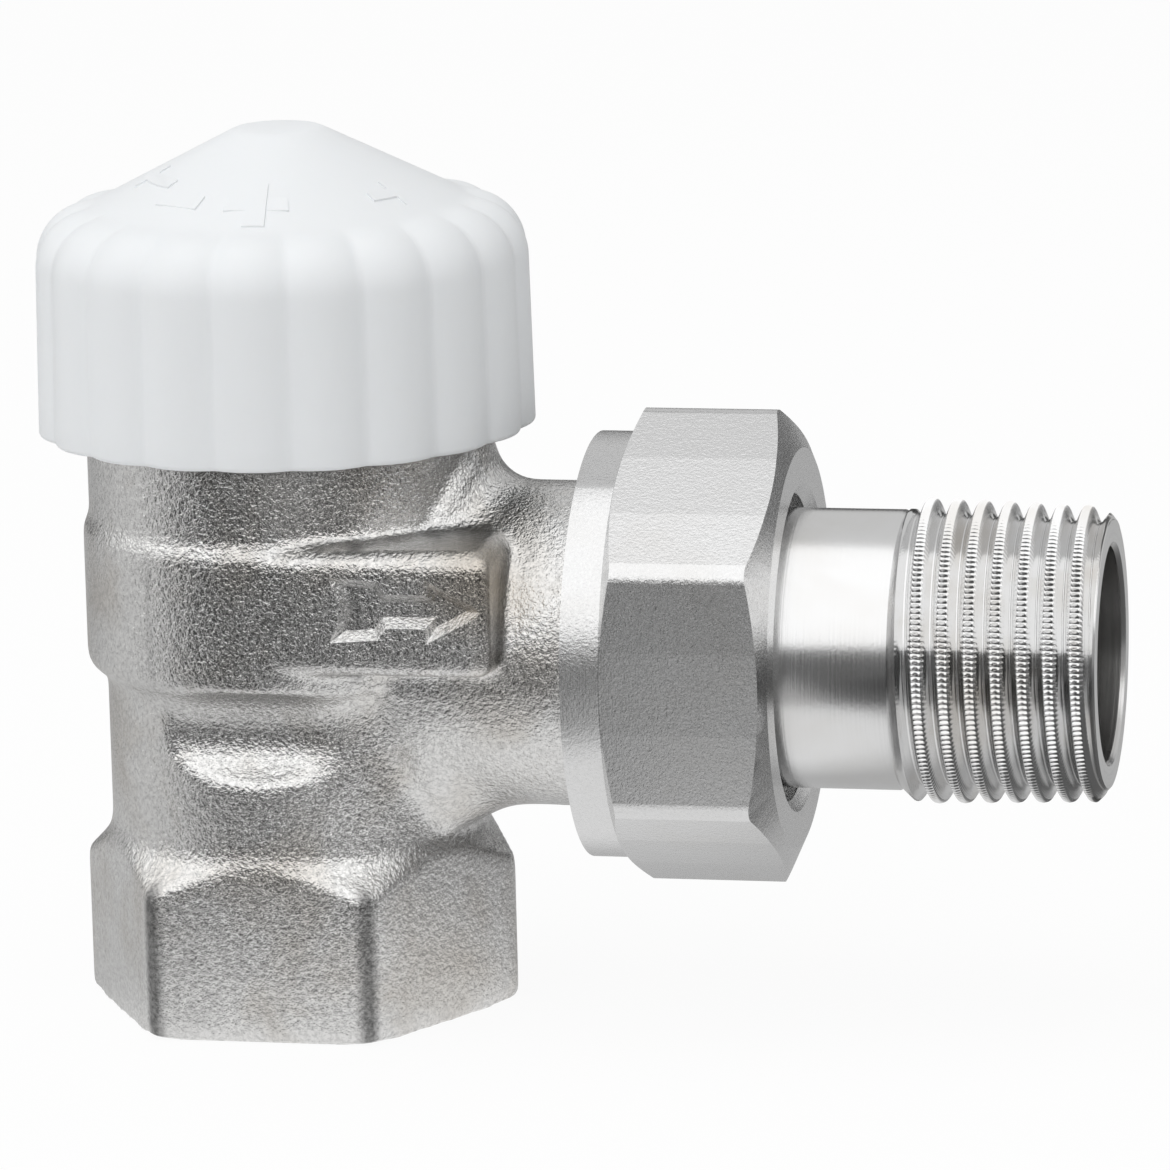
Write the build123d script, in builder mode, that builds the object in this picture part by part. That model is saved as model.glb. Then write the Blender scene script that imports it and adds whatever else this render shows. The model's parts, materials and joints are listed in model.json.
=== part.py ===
"""Angle-pattern radiator valve body with hand cap, valve insert, union nut and threaded tailpiece.

Millimetres. The origin is the centre of the inlet face, +Z runs up the valve spindle and +X along
the outlet. Threads are plain cylinders at their fitting size.
"""

import os
from math import sqrt

from build123d import *

# Connecting sizes
AXIS_H = 26.0            # inlet face to outlet axis
REACH = 58.0             # valve axis to the end of the tailpiece
INLET_R = 9.3155         # inlet pipe thread, 1/2 inch, at its crests
HEAD_THREAD_R = 15.0     # regulator thread, 30 mm, on the neck
HEAD_THREAD_L = 8.5
TAIL_THREAD_R = 10.7     # taper thread, 1/2 inch, crest at its root end
TAIL_THREAD_L = 14.4
UNION_STEP = 2.5         # union thread, 3/4 inch, outside the taper thread
UNION_THREAD_L = 8.4

# Fits
RUN_GAP = 0.05           # running clearance on each side
STATIC_GAP = 0.02        # clearance of seals that stay put
LIFT = 2.2               # travel of the seat disc
SEAT_GAP = 0.05          # left between disc and seat when shut

# Forged body, outside
FOOT_WALL = 4.28         # across the flats, outside the inlet thread
HEX_EDGE_R = 1.0
FOOT_FLOOR = 0.9         # top of the hexagon above the end of the inlet thread
FOOT_CHAMFER = 0.9
FLARE_R = 3.0
FLARE_ANGLE = 45
COLLAR_STEP = 0.9        # collar inside the regulator thread
COLLAR_H = 16.0          # top of the collar above the outlet axis
BAND_STEP = 0.45         # wide band of the drum outside the collar
BAND_H = 8.6             # top of the band above the outlet axis
BAND_BEVEL = 0.9
DRUM_DROP = 2.4          # drum edge starts this far below the outlet axis
DRUM_EDGE_H = 2.0
NECK_STEP = 1.35         # neck inside the drum
SCOOP_R = 3.7            # hollows on the front and back of the neck
SCOOP_DEPTH = 1.8
SCOOP_DROP = 4.4         # below the outlet axis
UNION_THREAD_DEPTH = 1.8
ROOT_R = 3.0             # blend of the branch into the drum
ROOT_L = 5.5             # branch from the drum to the end of the blend
BRANCH_NECK_L = 2.55     # plain branch up to the union thread
GUARD_START = 4.0        # cone that keeps the neck turning clear of the branch
GUARD_R = 8.0
LUG_PROUD = 0.25         # flat marking lugs on the front and back
LUG_REACH = 2.65         # end of the lugs past the drum
LUG_START = 3.0          # start of the flat past the valve axis
LUG_RAMP = 6.5
LUG_RISE = 0.6           # foot of the lugs above the outlet axis
LUG_EDGE = 1.0

# Forged body, inside
NECK_WALL = 4.7          # from the insert's bore to the regulator thread
MOUTH_CHAMFER = 0.9
THROAT_STEP = 1.5        # throat outside the orifice
THROAT_TAPER = 1.8
THROAT_L = 3.0
ORIFICE_L = 2.2
SEAT_DROP = 6.0          # seat below the outlet axis
SEAT_LAP = 0.6           # rim of the disc outside the seat
SEAT_WIDTH = 1.1
SEAT_LAND_H = 1.5
CHAMBER_STEP = 0.8       # chamber inside the insert's bore
CHAMBER_H = 11.5         # top of the chamber above the outlet axis
OUTLET_STEP = 0.5        # outlet bore inside the tailpiece's bore
CONE_L = 2.5             # seat of the tailpiece's nose
CONE_RISE = 2.1

# Valve insert
SPINDLE_R = 2.0
SPINDLE_TOP_DROP = 0.7   # spindle top below the gland washer
STUD_STEP = 0.5          # stud inside the spindle
PIN_R = 1.5
PIN_STAND = 2.8          # pin tip above the gland head
PIN_CHAMFER = 0.3
BONNET_LOW_STEP = 1.7    # plain foot of the bonnet inside its thread
BONNET_LOW_H = 9.5       # foot of the bonnet above the outlet axis
BONNET_THREAD_H = 14.0   # start of its thread above the outlet axis
BONNET_FLANGE_STEP = 0.7
BONNET_FLANGE_L = 2.4
BONNET_FLOOR_L = 2.2
BONNET_GROOVE_DEPTH = 1.4
BONNET_GROOVE_L = 1.8
BONNET_GROOVE_UP = 0.5
SPRING_SPACE = 2.3       # middle of the spring's wire outside the spindle
SPRING_MARGIN = 1.7      # spring pocket outside that
SPRING_POCKET_L = 9.8
SPRING_WIRE_R = 0.35
SPRING_TURNS = 4.5
SPRING_WIRE_SIDES = 8
PLATE_MARGIN = 0.6
PLATE_L = 0.8
CLIP_STEP = 1.2
CLIP_L = 0.6
CLIP_DEPTH = 0.4
CLIP_GRIP = 0.8          # neck of the spindle wider than the clip's slot
CLIP_DROP = 0.9          # clip top below the spindle top
GLAND_STEP = 1.0         # gland outside the spring pocket
GLAND_WASHER_L = 0.7
GLAND_HEAD_STEP = 1.0    # hexagon's flats inside the gland's thread
GLAND_HEAD_L = 2.5
GLAND_GROOVE_DEPTH = 1.0
GLAND_GROOVE_L = 1.2
GLAND_GROOVE_UP = 2.2
PIN_SEAL_SPACE = 1.9     # pocket of the pin's seal outside the pin
PIN_SEAL_L = 1.9

# Seat disc
HOLDER_GAP = 1.5         # water way round the holder
HOLDER_WALL = 0.8
HOLDER_PLATE_L = 1.5
HOLDER_SKIRT_L = 1.3
DISC_L = 2.0
WASHER_STEP = 2.1
WASHER_L = 0.6
NUT_STEP = 1.0
NUT_L = 1.6

# Hand cap
CAP_WALL = 2.3
CAP_RIM_DROP = 0.6       # rim below the start of the regulator thread
CAP_HEADROOM = 2.7       # shoulder above the neck
CAP_SHOULDER_R = 4.0
CAP_LOBES = 20
CAP_LOBE_R = 5.0
CAP_LOBE_TURN = 5        # degrees from the outlet to the first lobe
CAP_DRAFT = 0.2
CAP_CONE_STEP = 0.1
CAP_CONE_H = 5.2
CAP_TIP_R = 3.0
CAP_TIP_EDGE = 0.6
CAP_ROOF = 2.0
CAP_MOUTH = 0.8
CAP_LEDGE_GAP = 0.7      # inside of the cap outside the bonnet's corners
CAP_STOP_GAP = 0.5       # left between cap and neck when shut
CAP_BOSS_STEP = 1.1

# Union nut and tailpiece
NUT_LAP = 0.6            # nut past the start of the union thread
UNION_WALL = 1.7
UNION_COLLAR_L = 2.7
UNION_FLAT_STEP = 0.1
UNION_EDGE_R = 1.4
UNION_FACE_STEP = 1.05
UNION_SLOPE = 0.45       # rise of the end chamfers along the axis for each step of radius
UNION_LIP_L = 2.3
UNION_LIP_GAP = 1.0
UNION_LIP_CHAMFER = 0.7
UNION_MOUTH = 0.6
FLANGE_L = 2.8
FLANGE_GAP = 0.3
TAIL_THREAD_DEPTH = 0.94
TUBE_WALL = 2.26
NOSE_WALL = 0.6
TAIL_TAPER = 1 / 32      # fall of radius along the thread
TAIL_RUNOUT = 0.9
TAIL_CHAMFER = 0.8

# Radii that follow from the threads
HEX_FLATS = 2 * (INLET_R + FOOT_WALL)
COLLAR_R = HEAD_THREAD_R - COLLAR_STEP
DRUM_R = COLLAR_R + BAND_STEP
NECK_R = DRUM_R - NECK_STEP
INSERT_BORE_R = HEAD_THREAD_R - NECK_WALL
UNION_THREAD_R = TAIL_THREAD_R + UNION_STEP
BRANCH_R = UNION_THREAD_R - UNION_THREAD_DEPTH
CHAMBER_R = INSERT_BORE_R - CHAMBER_STEP
HOLDER_R = CHAMBER_R - HOLDER_GAP
DISC_R = HOLDER_R - HOLDER_WALL
SEAT_LAND_R = DISC_R - SEAT_LAP
ORIFICE_R = SEAT_LAND_R - SEAT_WIDTH
THROAT_R = ORIFICE_R + THROAT_STEP
BONNET_LOW_R = INSERT_BORE_R - BONNET_LOW_STEP
BONNET_GROOVE_R = INSERT_BORE_R - BONNET_GROOVE_DEPTH
BONNET_FLATS = 2 * (INSERT_BORE_R + BONNET_FLANGE_STEP)
BONNET_CORNER_R = BONNET_FLATS / sqrt(3)
STUD_R = SPINDLE_R - STUD_STEP
SPRING_R = SPINDLE_R + SPRING_SPACE
SPRING_POCKET_R = SPRING_R + SPRING_MARGIN
PLATE_R = SPRING_POCKET_R - PLATE_MARGIN
CLIP_R = SPINDLE_R + CLIP_STEP
CLIP_NECK_R = SPINDLE_R - CLIP_DEPTH
CLIP_SLOT = 2 * CLIP_NECK_R - CLIP_GRIP
GLAND_R = SPRING_POCKET_R + GLAND_STEP
GLAND_FLATS = 2 * (GLAND_R - GLAND_HEAD_STEP)
PIN_SEAL_R = PIN_R + PIN_SEAL_SPACE
WASHER_R = STUD_R + WASHER_STEP
NUT_FLATS = 2 * (STUD_R + NUT_STEP)
CAP_R = HEAD_THREAD_R + CAP_WALL
CAP_CONE_R = CAP_R - CAP_SHOULDER_R - CAP_CONE_STEP
CAP_LEDGE_R = BONNET_CORNER_R + CAP_LEDGE_GAP
CAP_BOSS_R = PIN_R + CAP_BOSS_STEP
UNION_COLLAR_R = UNION_THREAD_R + UNION_WALL
UNION_FLATS = 2 * (UNION_COLLAR_R + UNION_FLAT_STEP)
UNION_FACE_R = UNION_FLATS / 2 - UNION_FACE_STEP
TUBE_R = TAIL_THREAD_R - TAIL_THREAD_DEPTH
LIP_R = TUBE_R + UNION_LIP_GAP
TAIL_BORE_R = TUBE_R - TUBE_WALL
OUTLET_BORE_R = TAIL_BORE_R - OUTLET_STEP
TAIL_NOSE_R = TAIL_BORE_R + NOSE_WALL
CONE_MOUTH_R = TAIL_NOSE_R + CONE_RISE

# Levels along the valve axis
SEAT_Z = AXIS_H - SEAT_DROP
INLET_DEPTH = SEAT_Z - ORIFICE_L - THROAT_L - THROAT_TAPER
FOOT_H = INLET_DEPTH + FOOT_FLOOR
COLLAR_Z = AXIS_H + COLLAR_H
NECK_TOP = COLLAR_Z + HEAD_THREAD_L
BONNET_Z = AXIS_H + BONNET_LOW_H
BONNET_THREAD_Z = AXIS_H + BONNET_THREAD_H
BONNET_GROOVE_Z = BONNET_THREAD_Z + BONNET_GROOVE_UP
BONNET_TOP = NECK_TOP + BONNET_FLANGE_L
SPRING_Z = BONNET_Z + BONNET_FLOOR_L
GLAND_Z = SPRING_Z + SPRING_POCKET_L
GLAND_FOOT = GLAND_Z + GLAND_WASHER_L
GLAND_GROOVE_Z = GLAND_FOOT + GLAND_GROOVE_UP
GLAND_TOP = BONNET_TOP + GLAND_HEAD_L
PIN_TOP = GLAND_TOP + PIN_STAND
SPINDLE_TOP = GLAND_Z - SPINDLE_TOP_DROP
CLIP_Z = SPINDLE_TOP - CLIP_DROP - CLIP_L
PLATE_Z = CLIP_Z - PLATE_L
DISC_Z = SEAT_Z + LIFT + SEAT_GAP
HOLDER_Z = DISC_Z + DISC_L
SHOULDER_Z = HOLDER_Z + HOLDER_PLATE_L
STUD_Z = DISC_Z - WASHER_L - NUT_L
CAP_RIM_Z = COLLAR_Z - CAP_RIM_DROP
CAP_SHOULDER_Z = NECK_TOP + CAP_HEADROOM
CAP_CONE_Z = CAP_SHOULDER_Z + CAP_SHOULDER_R
CAP_TOP = CAP_CONE_Z + CAP_CONE_H

# Levels along the outlet axis
ROOT_END = DRUM_R + ROOT_L
UNION_THREAD_X = ROOT_END + BRANCH_NECK_L
BRANCH_L = UNION_THREAD_X + UNION_THREAD_L
LUG_END = DRUM_R + LUG_REACH
NUT_START = UNION_THREAD_X - NUT_LAP
HEX_X = NUT_START + UNION_COLLAR_L
FLANGE_X = BRANCH_L + RUN_GAP
FLANGE_END = FLANGE_X + FLANGE_L
LIP_X = FLANGE_END + RUN_GAP
NUT_END = LIP_X + UNION_LIP_L
TAIL_THREAD_X = REACH - TAIL_THREAD_L

OUTLET = Plane(origin=(0, 0, AXIS_H), x_dir=(1, 0, 0), z_dir=(0, -1, 0))
OUTLET_AXIS = Axis((0, 0, AXIS_H), (1, 0, 0))


def outline(points, plane=Plane.XZ):
    """Closed outline of (radius, height) points, or (length, radius) points on the outlet plane."""
    with BuildSketch(plane) as profile:
        with BuildLine():
            Polyline(*points, close=True)
        make_face()
    return profile.sketch


def hexagon(flats, plane, edge_r=0.0, turn=0):
    """Hexagon on a plane, with rounded corners where an edge radius is given."""
    with BuildSketch(plane) as profile:
        RegularPolygon(flats / 2, 6, major_radius=False, rotation=turn)
        if edge_r:
            fillet(vertices(), edge_r)
    return profile.sketch


def ring(inner_r, outer_r, z, height):
    """Flat ring about the valve axis."""
    with BuildPart() as flat_ring:
        with BuildSketch(Plane.XY.offset(z)):
            Circle(outer_r)
            Circle(inner_r, mode=Mode.SUBTRACT)
        extrude(amount=height)
    return flat_ring


def round_seal(inner_r, outer_r, z):
    """Round sealing ring about the valve axis, clear of both walls."""
    with BuildPart() as seal:
        with BuildSketch(Plane.XZ):
            with Locations(((inner_r + outer_r) / 2, z)):
                Circle((outer_r - inner_r) / 2 - STATIC_GAP)
        revolve(axis=Axis.Z)
    return seal


# Hexagonal foot with turned flare and chamfer
with BuildPart() as foot:
    extrude(hexagon(HEX_FLATS, Plane.XY, HEX_EDGE_R), amount=FOOT_H)
    with BuildSketch(Plane.XZ):
        with BuildLine():
            top = Line((0, FOOT_H), (NECK_R, FOOT_H))
            flare = JernArc(top @ 1, (0, -1), FLARE_R, FLARE_ANGLE)
            cone = PolarLine(flare @ 1, FOOT_H / 2, -FLARE_ANGLE)
            rim = ((cone @ 1).X, FOOT_CHAMFER)
            Polyline(cone @ 1, rim, (HEX_FLATS / 2 + FOOT_CHAMFER, 0), (0, 0), top @ 0)
        make_face()
    revolve(axis=Axis.Z, mode=Mode.INTERSECT)

# Flat marking lugs that run from the drum over the branch
with BuildPart() as lug:
    lug_y = DRUM_R + LUG_PROUD
    ramp_x = LUG_START - LUG_RAMP
    ramp_y = sqrt(DRUM_R**2 - ramp_x**2) - LUG_PROUD
    with BuildSketch(Plane.XY.offset(AXIS_H + LUG_RISE)):
        with BuildLine():
            Polyline((LUG_END, 0), (LUG_END, lug_y), (LUG_START, lug_y), (ramp_x, ramp_y), (ramp_x, 0))
            mirror(about=Plane.XZ)
        make_face()
    extrude(amount=BAND_H + BAND_BEVEL - LUG_RISE)
    fillet(lug.edges().filter_by(Axis.Z).group_by(Axis.X)[-1], LUG_EDGE)
    chamfer(lug.faces().sort_by(Axis.Z)[-1].edges(), BAND_BEVEL)
    fillet(lug.faces().sort_by(Axis.Z)[0].edges(), LUG_EDGE)

# Turned-away rings below and above the drum's wide band, kept clear of the branch
with BuildPart() as relief:
    with BuildSketch(Plane.XZ):
        with BuildLine():
            neck = Line((NECK_R, FOOT_H), (NECK_R, AXIS_H - DRUM_DROP))
            edge_end = (DRUM_R, AXIS_H - DRUM_DROP + DRUM_EDGE_H)
            edge = Spline(neck @ 1, edge_end, tangents=((0, 1), (0, 1)))
            Polyline(edge @ 1, (2 * DRUM_R, (edge @ 1).Y), (2 * DRUM_R, FOOT_H), neck @ 0)
        make_face()
    revolve(axis=Axis.Z)
    profile = outline(
        [
            (COLLAR_R, COLLAR_Z),
            (COLLAR_R, AXIS_H + BAND_H + BAND_BEVEL),
            (DRUM_R, AXIS_H + BAND_H),
            (2 * DRUM_R, AXIS_H + BAND_H),
            (2 * DRUM_R, COLLAR_Z),
        ],
    )
    revolve(profile, axis=Axis.Z)
    guard_end = BRANCH_R + ROOT_R
    profile = outline(
        [
            (GUARD_START, 0),
            (GUARD_START, GUARD_R),
            (DRUM_R, guard_end),
            (2 * REACH, guard_end),
            (2 * REACH, 0),
        ],
        OUTLET,
    )
    revolve(profile, axis=OUTLET_AXIS, mode=Mode.SUBTRACT)

# Forged body
with BuildPart() as valve_body:
    with BuildSketch(Plane.XY.offset(FOOT_H)):
        Circle(DRUM_R)
    extrude(amount=COLLAR_Z - FOOT_H)
    with BuildSketch(Plane.YZ):
        with Locations((0, AXIS_H)):
            Circle(BRANCH_R)
    extrude(amount=ROOT_END)
    saddle = valve_body.edges().filter_by(GeomType.BSPLINE)
    fillet(saddle, ROOT_R)
    add(relief.part, mode=Mode.SUBTRACT)
    add(foot.part)
    add(lug.part)
    for side in (-1, 1):
        with BuildSketch(Plane.YZ.offset(-2 * DRUM_R)):
            with Locations((side * (NECK_R + SCOOP_R - SCOOP_DEPTH), AXIS_H - SCOOP_DROP)):
                Circle(SCOOP_R)
        extrude(amount=4 * DRUM_R, mode=Mode.SUBTRACT)
    profile = outline(
        [
            (0, COLLAR_Z),
            (COLLAR_R, COLLAR_Z),
            (HEAD_THREAD_R, COLLAR_Z + HEAD_THREAD_R - COLLAR_R),
            (HEAD_THREAD_R, NECK_TOP - MOUTH_CHAMFER),
            (HEAD_THREAD_R - MOUTH_CHAMFER, NECK_TOP),
            (0, NECK_TOP),
        ],
    )
    revolve(profile, axis=Axis.Z)
    profile = outline(
        [
            (ROOT_END, 0),
            (ROOT_END, BRANCH_R),
            (UNION_THREAD_X, BRANCH_R),
            (UNION_THREAD_X + MOUTH_CHAMFER, UNION_THREAD_R),
            (BRANCH_L - MOUTH_CHAMFER, UNION_THREAD_R),
            (BRANCH_L, UNION_THREAD_R - MOUTH_CHAMFER),
            (BRANCH_L, 0),
        ],
        OUTLET,
    )
    revolve(profile, axis=OUTLET_AXIS)
    profile = outline(
        [
            (0, 0),
            (INLET_R + MOUTH_CHAMFER, 0),
            (INLET_R, MOUTH_CHAMFER),
            (INLET_R, INLET_DEPTH),
            (THROAT_R, INLET_DEPTH + THROAT_TAPER),
            (ORIFICE_R, SEAT_Z - ORIFICE_L),
            (ORIFICE_R, SEAT_Z),
            (SEAT_LAND_R, SEAT_Z),
            (SEAT_LAND_R, SEAT_Z - SEAT_LAND_H),
            (CHAMBER_R, SEAT_Z - SEAT_LAND_H),
            (CHAMBER_R, AXIS_H + CHAMBER_H),
            (INSERT_BORE_R, AXIS_H + CHAMBER_H),
            (INSERT_BORE_R, NECK_TOP),
            (0, NECK_TOP),
        ],
    )
    revolve(profile, axis=Axis.Z, mode=Mode.SUBTRACT)
    profile = outline(
        [
            (0, 0),
            (0, OUTLET_BORE_R),
            (BRANCH_L - CONE_L, OUTLET_BORE_R),
            (BRANCH_L - CONE_L, TAIL_NOSE_R + RUN_GAP),
            (BRANCH_L, CONE_MOUTH_R + RUN_GAP),
            (BRANCH_L, 0),
        ],
        OUTLET,
    )
    revolve(profile, axis=OUTLET_AXIS, mode=Mode.SUBTRACT)

# Bonnet that screws into the neck and carries the valve insert
with BuildPart() as insert_bonnet:
    screw_r = INSERT_BORE_R - RUN_GAP
    profile = outline(
        [
            (0, BONNET_Z),
            (BONNET_LOW_R, BONNET_Z),
            (BONNET_LOW_R, BONNET_THREAD_Z),
            (screw_r, BONNET_THREAD_Z),
            (screw_r, BONNET_GROOVE_Z),
            (BONNET_GROOVE_R, BONNET_GROOVE_Z),
            (BONNET_GROOVE_R, BONNET_GROOVE_Z + BONNET_GROOVE_L),
            (screw_r, BONNET_GROOVE_Z + BONNET_GROOVE_L),
            (screw_r, NECK_TOP),
            (0, NECK_TOP),
        ],
    )
    revolve(profile, axis=Axis.Z)
    extrude(hexagon(BONNET_FLATS, Plane.XY.offset(NECK_TOP)), amount=BONNET_FLANGE_L)
    profile = outline(
        [
            (0, BONNET_Z),
            (SPINDLE_R + RUN_GAP, BONNET_Z),
            (SPINDLE_R + RUN_GAP, SPRING_Z),
            (SPRING_POCKET_R, SPRING_Z),
            (SPRING_POCKET_R, GLAND_Z),
            (GLAND_R, GLAND_Z),
            (GLAND_R, BONNET_TOP),
            (0, BONNET_TOP),
        ],
    )
    revolve(profile, axis=Axis.Z, mode=Mode.SUBTRACT)

bonnet_o_ring = round_seal(BONNET_GROOVE_R, INSERT_BORE_R, BONNET_GROOVE_Z + BONNET_GROOVE_L / 2)

# Gland that seals the pin and can be changed under pressure
gland_washer = ring(PIN_R + RUN_GAP, GLAND_R - RUN_GAP, GLAND_Z, GLAND_WASHER_L)

GLAND_GROOVE_R = GLAND_R - GLAND_GROOVE_DEPTH
with BuildPart() as gland_nut:
    with BuildSketch(Plane.XY.offset(GLAND_FOOT)):
        Circle(GLAND_R - RUN_GAP)
    extrude(amount=BONNET_TOP - GLAND_FOOT)
    extrude(hexagon(GLAND_FLATS, Plane.XY.offset(BONNET_TOP)), amount=GLAND_HEAD_L)
    profile = outline(
        [
            (0, GLAND_FOOT),
            (PIN_SEAL_R, GLAND_FOOT),
            (PIN_SEAL_R, GLAND_FOOT + PIN_SEAL_L),
            (PIN_R + RUN_GAP, GLAND_FOOT + PIN_SEAL_L),
            (PIN_R + RUN_GAP, GLAND_TOP),
            (0, GLAND_TOP),
        ],
    )
    revolve(profile, axis=Axis.Z, mode=Mode.SUBTRACT)
    profile = outline(
        [
            (GLAND_GROOVE_R, GLAND_GROOVE_Z),
            (GLAND_R, GLAND_GROOVE_Z),
            (GLAND_R, GLAND_GROOVE_Z + GLAND_GROOVE_L),
            (GLAND_GROOVE_R, GLAND_GROOVE_Z + GLAND_GROOVE_L),
        ],
    )
    revolve(profile, axis=Axis.Z, mode=Mode.SUBTRACT)

gland_o_ring = round_seal(GLAND_GROOVE_R, GLAND_R, GLAND_GROOVE_Z + GLAND_GROOVE_L / 2)
pin_o_ring = round_seal(PIN_R + RUN_GAP, PIN_SEAL_R, GLAND_FOOT + PIN_SEAL_L / 2)

# Pin that the cap presses, and the spindle under it
with BuildPart() as pressure_pin:
    profile = outline(
        [
            (0, SPINDLE_TOP),
            (PIN_R, SPINDLE_TOP),
            (PIN_R, PIN_TOP - PIN_CHAMFER),
            (PIN_R - PIN_CHAMFER, PIN_TOP),
            (0, PIN_TOP),
        ],
    )
    revolve(profile, axis=Axis.Z)

with BuildPart() as spindle:
    profile = outline(
        [
            (0, STUD_Z),
            (STUD_R, STUD_Z),
            (STUD_R, SHOULDER_Z),
            (SPINDLE_R, SHOULDER_Z),
            (SPINDLE_R, CLIP_Z),
            (CLIP_NECK_R, CLIP_Z),
            (CLIP_NECK_R, CLIP_Z + CLIP_L),
            (SPINDLE_R, CLIP_Z + CLIP_L),
            (SPINDLE_R, SPINDLE_TOP),
            (0, SPINDLE_TOP),
        ],
    )
    revolve(profile, axis=Axis.Z)

spring_plate = ring(SPINDLE_R + STATIC_GAP, PLATE_R, PLATE_Z, PLATE_L)

with BuildPart() as spindle_clip:
    with BuildSketch(Plane.XY.offset(CLIP_Z)):
        Circle(CLIP_R)
        Circle(CLIP_NECK_R + STATIC_GAP, mode=Mode.SUBTRACT)
        with Locations((CLIP_R, 0)):
            Rectangle(2 * CLIP_R, CLIP_SLOT, mode=Mode.SUBTRACT)
    extrude(amount=CLIP_L)

# Opening spring between the bonnet floor and the spring plate
with BuildPart() as return_spring:
    coil_h = PLATE_Z - SPRING_Z - 2 * (SPRING_WIRE_R + STATIC_GAP)
    coil_z = SPRING_Z + SPRING_WIRE_R + STATIC_GAP
    with BuildLine():
        coil = Helix(coil_h / SPRING_TURNS, coil_h, SPRING_R, center=(0, 0, coil_z))
    with BuildSketch(Plane(origin=coil @ 0, z_dir=coil % 0)):
        RegularPolygon(SPRING_WIRE_R, SPRING_WIRE_SIDES)
    sweep(path=coil, is_frenet=True)

# Seat disc and what clamps it to the spindle
with BuildPart() as disc_holder:
    profile = outline(
        [
            (STUD_R + STATIC_GAP, HOLDER_Z),
            (DISC_R + STATIC_GAP, HOLDER_Z),
            (DISC_R + STATIC_GAP, HOLDER_Z - HOLDER_SKIRT_L),
            (HOLDER_R, HOLDER_Z - HOLDER_SKIRT_L),
            (HOLDER_R, SHOULDER_Z),
            (STUD_R + STATIC_GAP, SHOULDER_Z),
        ],
    )
    revolve(profile, axis=Axis.Z)

seat_disc = ring(STUD_R + STATIC_GAP, DISC_R, DISC_Z, DISC_L)
disc_washer = ring(STUD_R + STATIC_GAP, WASHER_R, DISC_Z - WASHER_L, WASHER_L)

with BuildPart() as disc_nut:
    extrude(hexagon(NUT_FLATS, Plane.XY.offset(STUD_Z)), amount=NUT_L)
    with BuildSketch(Plane.XY.offset(STUD_Z)):
        Circle(STUD_R + STATIC_GAP)
    extrude(amount=NUT_L, mode=Mode.SUBTRACT)

# One lobe of the hand cap's grip
with BuildPart() as grip_lobe:
    with BuildSketch(Plane.XZ):
        with BuildLine():
            wall = Line((CAP_LOBE_R + CAP_DRAFT, CAP_RIM_Z), (CAP_LOBE_R, CAP_SHOULDER_Z))
            crown_r = CAP_LOBE_R - CAP_SHOULDER_R
            crown = RadiusArc(wall @ 1, (crown_r, CAP_CONE_Z), -CAP_SHOULDER_R)
            Polyline(crown @ 1, (0, CAP_CONE_Z), (0, CAP_RIM_Z), wall @ 0)
        make_face()
    revolve(axis=Axis.Z)

# Hand cap with lobed grip, cone top, neck thread and a boss that meets the pin
with BuildPart() as hand_cap:
    lobe_centre = CAP_R - CAP_LOBE_R
    profile = outline(
        [
            (0, CAP_RIM_Z),
            (lobe_centre, CAP_RIM_Z),
            (CAP_CONE_R, CAP_CONE_Z),
            (CAP_TIP_R, CAP_TOP),
            (0, CAP_TOP),
        ],
    )
    revolve(profile, axis=Axis.Z)
    fillet(hand_cap.faces().sort_by(Axis.Z)[-1].edges(), CAP_TIP_EDGE)
    with PolarLocations(lobe_centre, CAP_LOBES, start_angle=CAP_LOBE_TURN):
        add(grip_lobe.part)
    cone_rise = CAP_CONE_H / (CAP_CONE_R - CAP_TIP_R)
    roof_z = CAP_CONE_Z - CAP_ROOF
    boss_z = PIN_TOP + RUN_GAP
    thread_r = HEAD_THREAD_R + RUN_GAP
    ledge_z = NECK_TOP + LIFT + CAP_STOP_GAP
    profile = outline(
        [
            (0, CAP_RIM_Z),
            (thread_r + CAP_MOUTH, CAP_RIM_Z),
            (thread_r, CAP_RIM_Z + CAP_MOUTH),
            (thread_r, ledge_z),
            (CAP_LEDGE_R, ledge_z + thread_r - CAP_LEDGE_R),
            (CAP_LEDGE_R, roof_z),
            (CAP_BOSS_R, roof_z + (CAP_LEDGE_R - CAP_BOSS_R) * cone_rise),
            (CAP_BOSS_R, boss_z),
            (0, boss_z),
        ],
    )
    revolve(profile, axis=Axis.Z, mode=Mode.SUBTRACT)

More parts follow.
